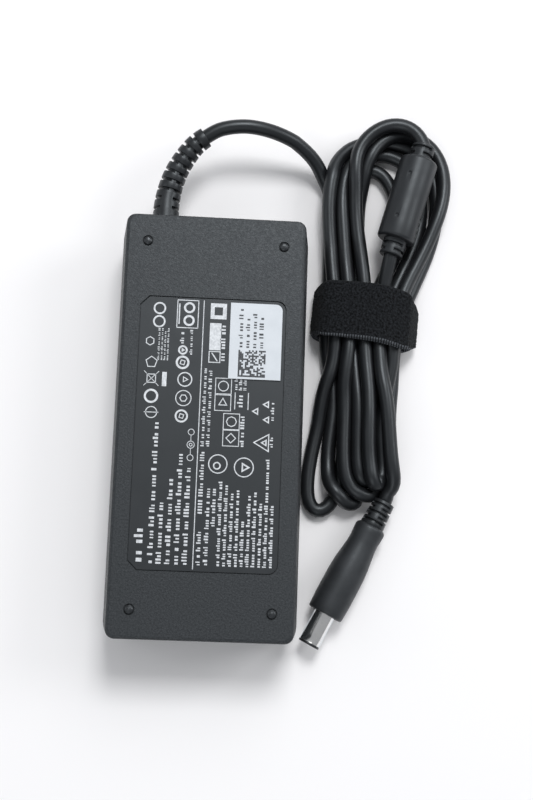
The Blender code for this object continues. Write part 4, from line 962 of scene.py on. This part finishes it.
sticker_low, sticker_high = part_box("code_sticker")
STICKER_MARGIN = 0.0010
STICKER_CORNER = 0.0022
sticker_high.x = min(sticker_high.x, label_high.x - STICKER_MARGIN)
sticker_high.y = min(sticker_high.y, label_high.y - STICKER_MARGIN)
sticker_low.y -= 0.0012
sticker_size, sticker_middle = sticker_high - sticker_low, (sticker_high + sticker_low) / 2
bpy.ops.object.select_all(action="DESELECT")
bpy.ops.mesh.primitive_plane_add(size=1)
sticker = start_edit("paper_sticker")
bpy.ops.transform.resize(value=(sticker_size.x, sticker_size.y, 1), center_override=(0, 0, 0))
bpy.ops.transform.translate(value=(sticker_middle.x, sticker_middle.y, sticker_low.z))
sheet = bmesh.from_edit_mesh(sticker.data)
for corner in sheet.verts:
    corner.select = corner.co.x > sticker_middle.x and corner.co.y > sticker_middle.y
sheet.select_flush(False)
bmesh.update_edit_mesh(sticker.data)
bpy.ops.mesh.bevel(offset=STICKER_CORNER, segments=6, affect="VERTICES")
bpy.ops.object.mode_set(mode="OBJECT")
paper_body = sticker.modifiers.new("paper_body", "SOLIDIFY")
paper_body.thickness = sticker_size.z
paper_body.offset = 1
bpy.ops.object.modifier_apply(modifier=paper_body.name)
sticker.data.materials.append(paper)
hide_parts("code_sticker")
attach(sticker, "root")

dots = new_print("sticker_print", sticker_high.z + INK_RISE)
DOT = 0.00057
DOT_ROWS = 16
first_x, first_y = sticker_low.x + 0.0031, sticker_low.y + 0.0007
for row in range(DOT_ROWS):
    for column in range(DOT_ROWS):
        edge = row == 0 or column == 0
        if edge or chance.random() < 0.56:
            add_bar(dots, first_x + (column + 0.5) * DOT, first_y + (row + 0.5) * DOT, DOT * 0.98, DOT * 0.98)
for row, end in enumerate((0.0240, 0.0208, 0.0224, 0.0228)):
    add_words(dots, sticker_low.x + 0.0036 + row * 0.0023, sticker_low.y + 0.0104, sticker_low.y + end,
              0.0015,
              0.0010, 0.0036, 0.4)

dark_ink, dark_ink_tree, dark_ink_shader = new_finish("dark_ink", (0.035, 0.036, 0.04), 0.55)
on_dark_ink = place_in(dark_ink_tree)
vary_colour(dark_ink_tree, dark_ink_shader, on_dark_ink, 0.0008, (0.028, 0.029, 0.033), (0.055, 0.056, 0.060))
vary_roughness(dark_ink_tree, dark_ink_shader, on_dark_ink, 0.001, 0.45, 0.6)
finish_print(dots, dark_ink)

# ---- Appliance inlet ----
# A black moulding set in the near end wall, with a three-lobed recess and three nickel-plated brass pins.
# The cover halves clamp it, and its pins' tails are soldered to short wires.

socket_paint, socket_tree, socket_shader = new_finish("inlet_moulding", (0.017, 0.0175, 0.0185), 0.4)
on_socket = place_in(socket_tree)
vary_colour(socket_tree, socket_shader, on_socket, 0.005, (0.0155, 0.016, 0.017), (0.021, 0.0215, 0.0225))
vary_roughness(socket_tree, socket_shader, on_socket, 0.0025, 0.34, 0.46)
raise_grain(socket_tree, socket_shader, on_socket, 0.0005, 0.00003, 0.3)
refinish(socket_paint, "inlet_socket")
refinish(plating, "inlet_pin_line", "inlet_pin_neutral", "inlet_pin_earth")

# ---- Board and the parts inside ----
# A printed board carries the supply's parts from the inlet filter to the output filter, between two aluminium
# heat spreaders. All of it is closed in by the welded covers.

inner_finishes = (
    # name, dark, light, roughness, metallic, patch, grain, height, nodes
    ("green_laminate", (0.010, 0.060, 0.026), (0.020, 0.100, 0.044), 0.38, 0, 0.0025, 0.0009, 0.00003,
     ["circuit_board"]),
    ("yellow_box", (0.56, 0.38, 0.05), (0.66, 0.47, 0.08), 0.38, 0, 0.004, 0.0008, 0.00003, ["x_capacitor"]),
    ("enamelled_wire", (0.36, 0.13, 0.04), (0.56, 0.24, 0.08), 0.30, 0.6, 0.0009, 0.0007, 0.00025,
     ["filter_choke", "output_inductor"]),
    ("glazed_ceramic", (0.54, 0.51, 0.43), (0.66, 0.63, 0.56), 0.35, 0, 0.002, 0.0006, 0.00002, ["fuse"]),
    ("green_lacquer", (0.03, 0.15, 0.06), (0.06, 0.24, 0.10), 0.30, 0, 0.002, 0.0008, 0.00006,
     ["thermistor"]),
    ("blue_lacquer", (0.02, 0.09, 0.32), (0.05, 0.15, 0.48), 0.30, 0, 0.002, 0.0008, 0.00006,
     ["y_capacitor"]),
    ("epoxy_package", (0.014, 0.014, 0.015), (0.026, 0.026, 0.027), 0.50, 0, 0.0012, 0.0003, 0.00003,
     ["bridge_rectifier", "switching_transistor", "output_rectifier", "feedback_coupler", "control_chip"]),
    ("shrink_sleeve", (0.018, 0.020, 0.040), (0.034, 0.038, 0.068), 0.28, 0, 0.003, 0.0012, 0.00004,
     ["bulk_capacitor", "output_capacitor_1", "output_capacitor_2", "inlet_wire_line", "inlet_wire_neutral",
      "inlet_wire_earth", "dc_lead_negative"]),
    ("copper_lead", (0.40, 0.15, 0.05), (0.58, 0.25, 0.09), 0.32, 0.8, 0.001, 0.0005, 0.00004,
     ["dc_lead_positive"]),
    ("yellow_lead", (0.52, 0.36, 0.05), (0.66, 0.48, 0.09), 0.40, 0, 0.001, 0.0005, 0.00003,
     ["dc_lead_sense"]),
    ("sintered_core", (0.045, 0.045, 0.048), (0.075, 0.074, 0.078), 0.66, 0, 0.0012, 0.0004, 0.00007,
     ["transformer_core", "choke_ferrite"]),
    ("winding_tape", (0.48, 0.36, 0.06), (0.60, 0.47, 0.10), 0.34, 0, 0.004, 0.0014, 0.00006,
     ["transformer_winding", "safety_barrier"]),
    ("mill_aluminium", (0.52, 0.52, 0.53), (0.66, 0.66, 0.66), 0.36, 1, 0.0018, 0.0006, 0.00003,
     ["primary_heatsink", "secondary_heatsink", "upper_heat_spreader", "lower_heat_spreader"]),
)
for name, dark, light, roughness, metallic, patch, grain, height, members in inner_finishes:
    paint, tree, shader = new_finish(name, light, roughness, metallic)
    where = place_in(tree)
    vary_colour(tree, shader, where, patch, dark, light)
    vary_roughness(tree, shader, where, patch / 2, roughness - 0.07, roughness + 0.07)
    raise_grain(tree, shader, where, grain, height, 0.5)
    refinish(paint, *members)
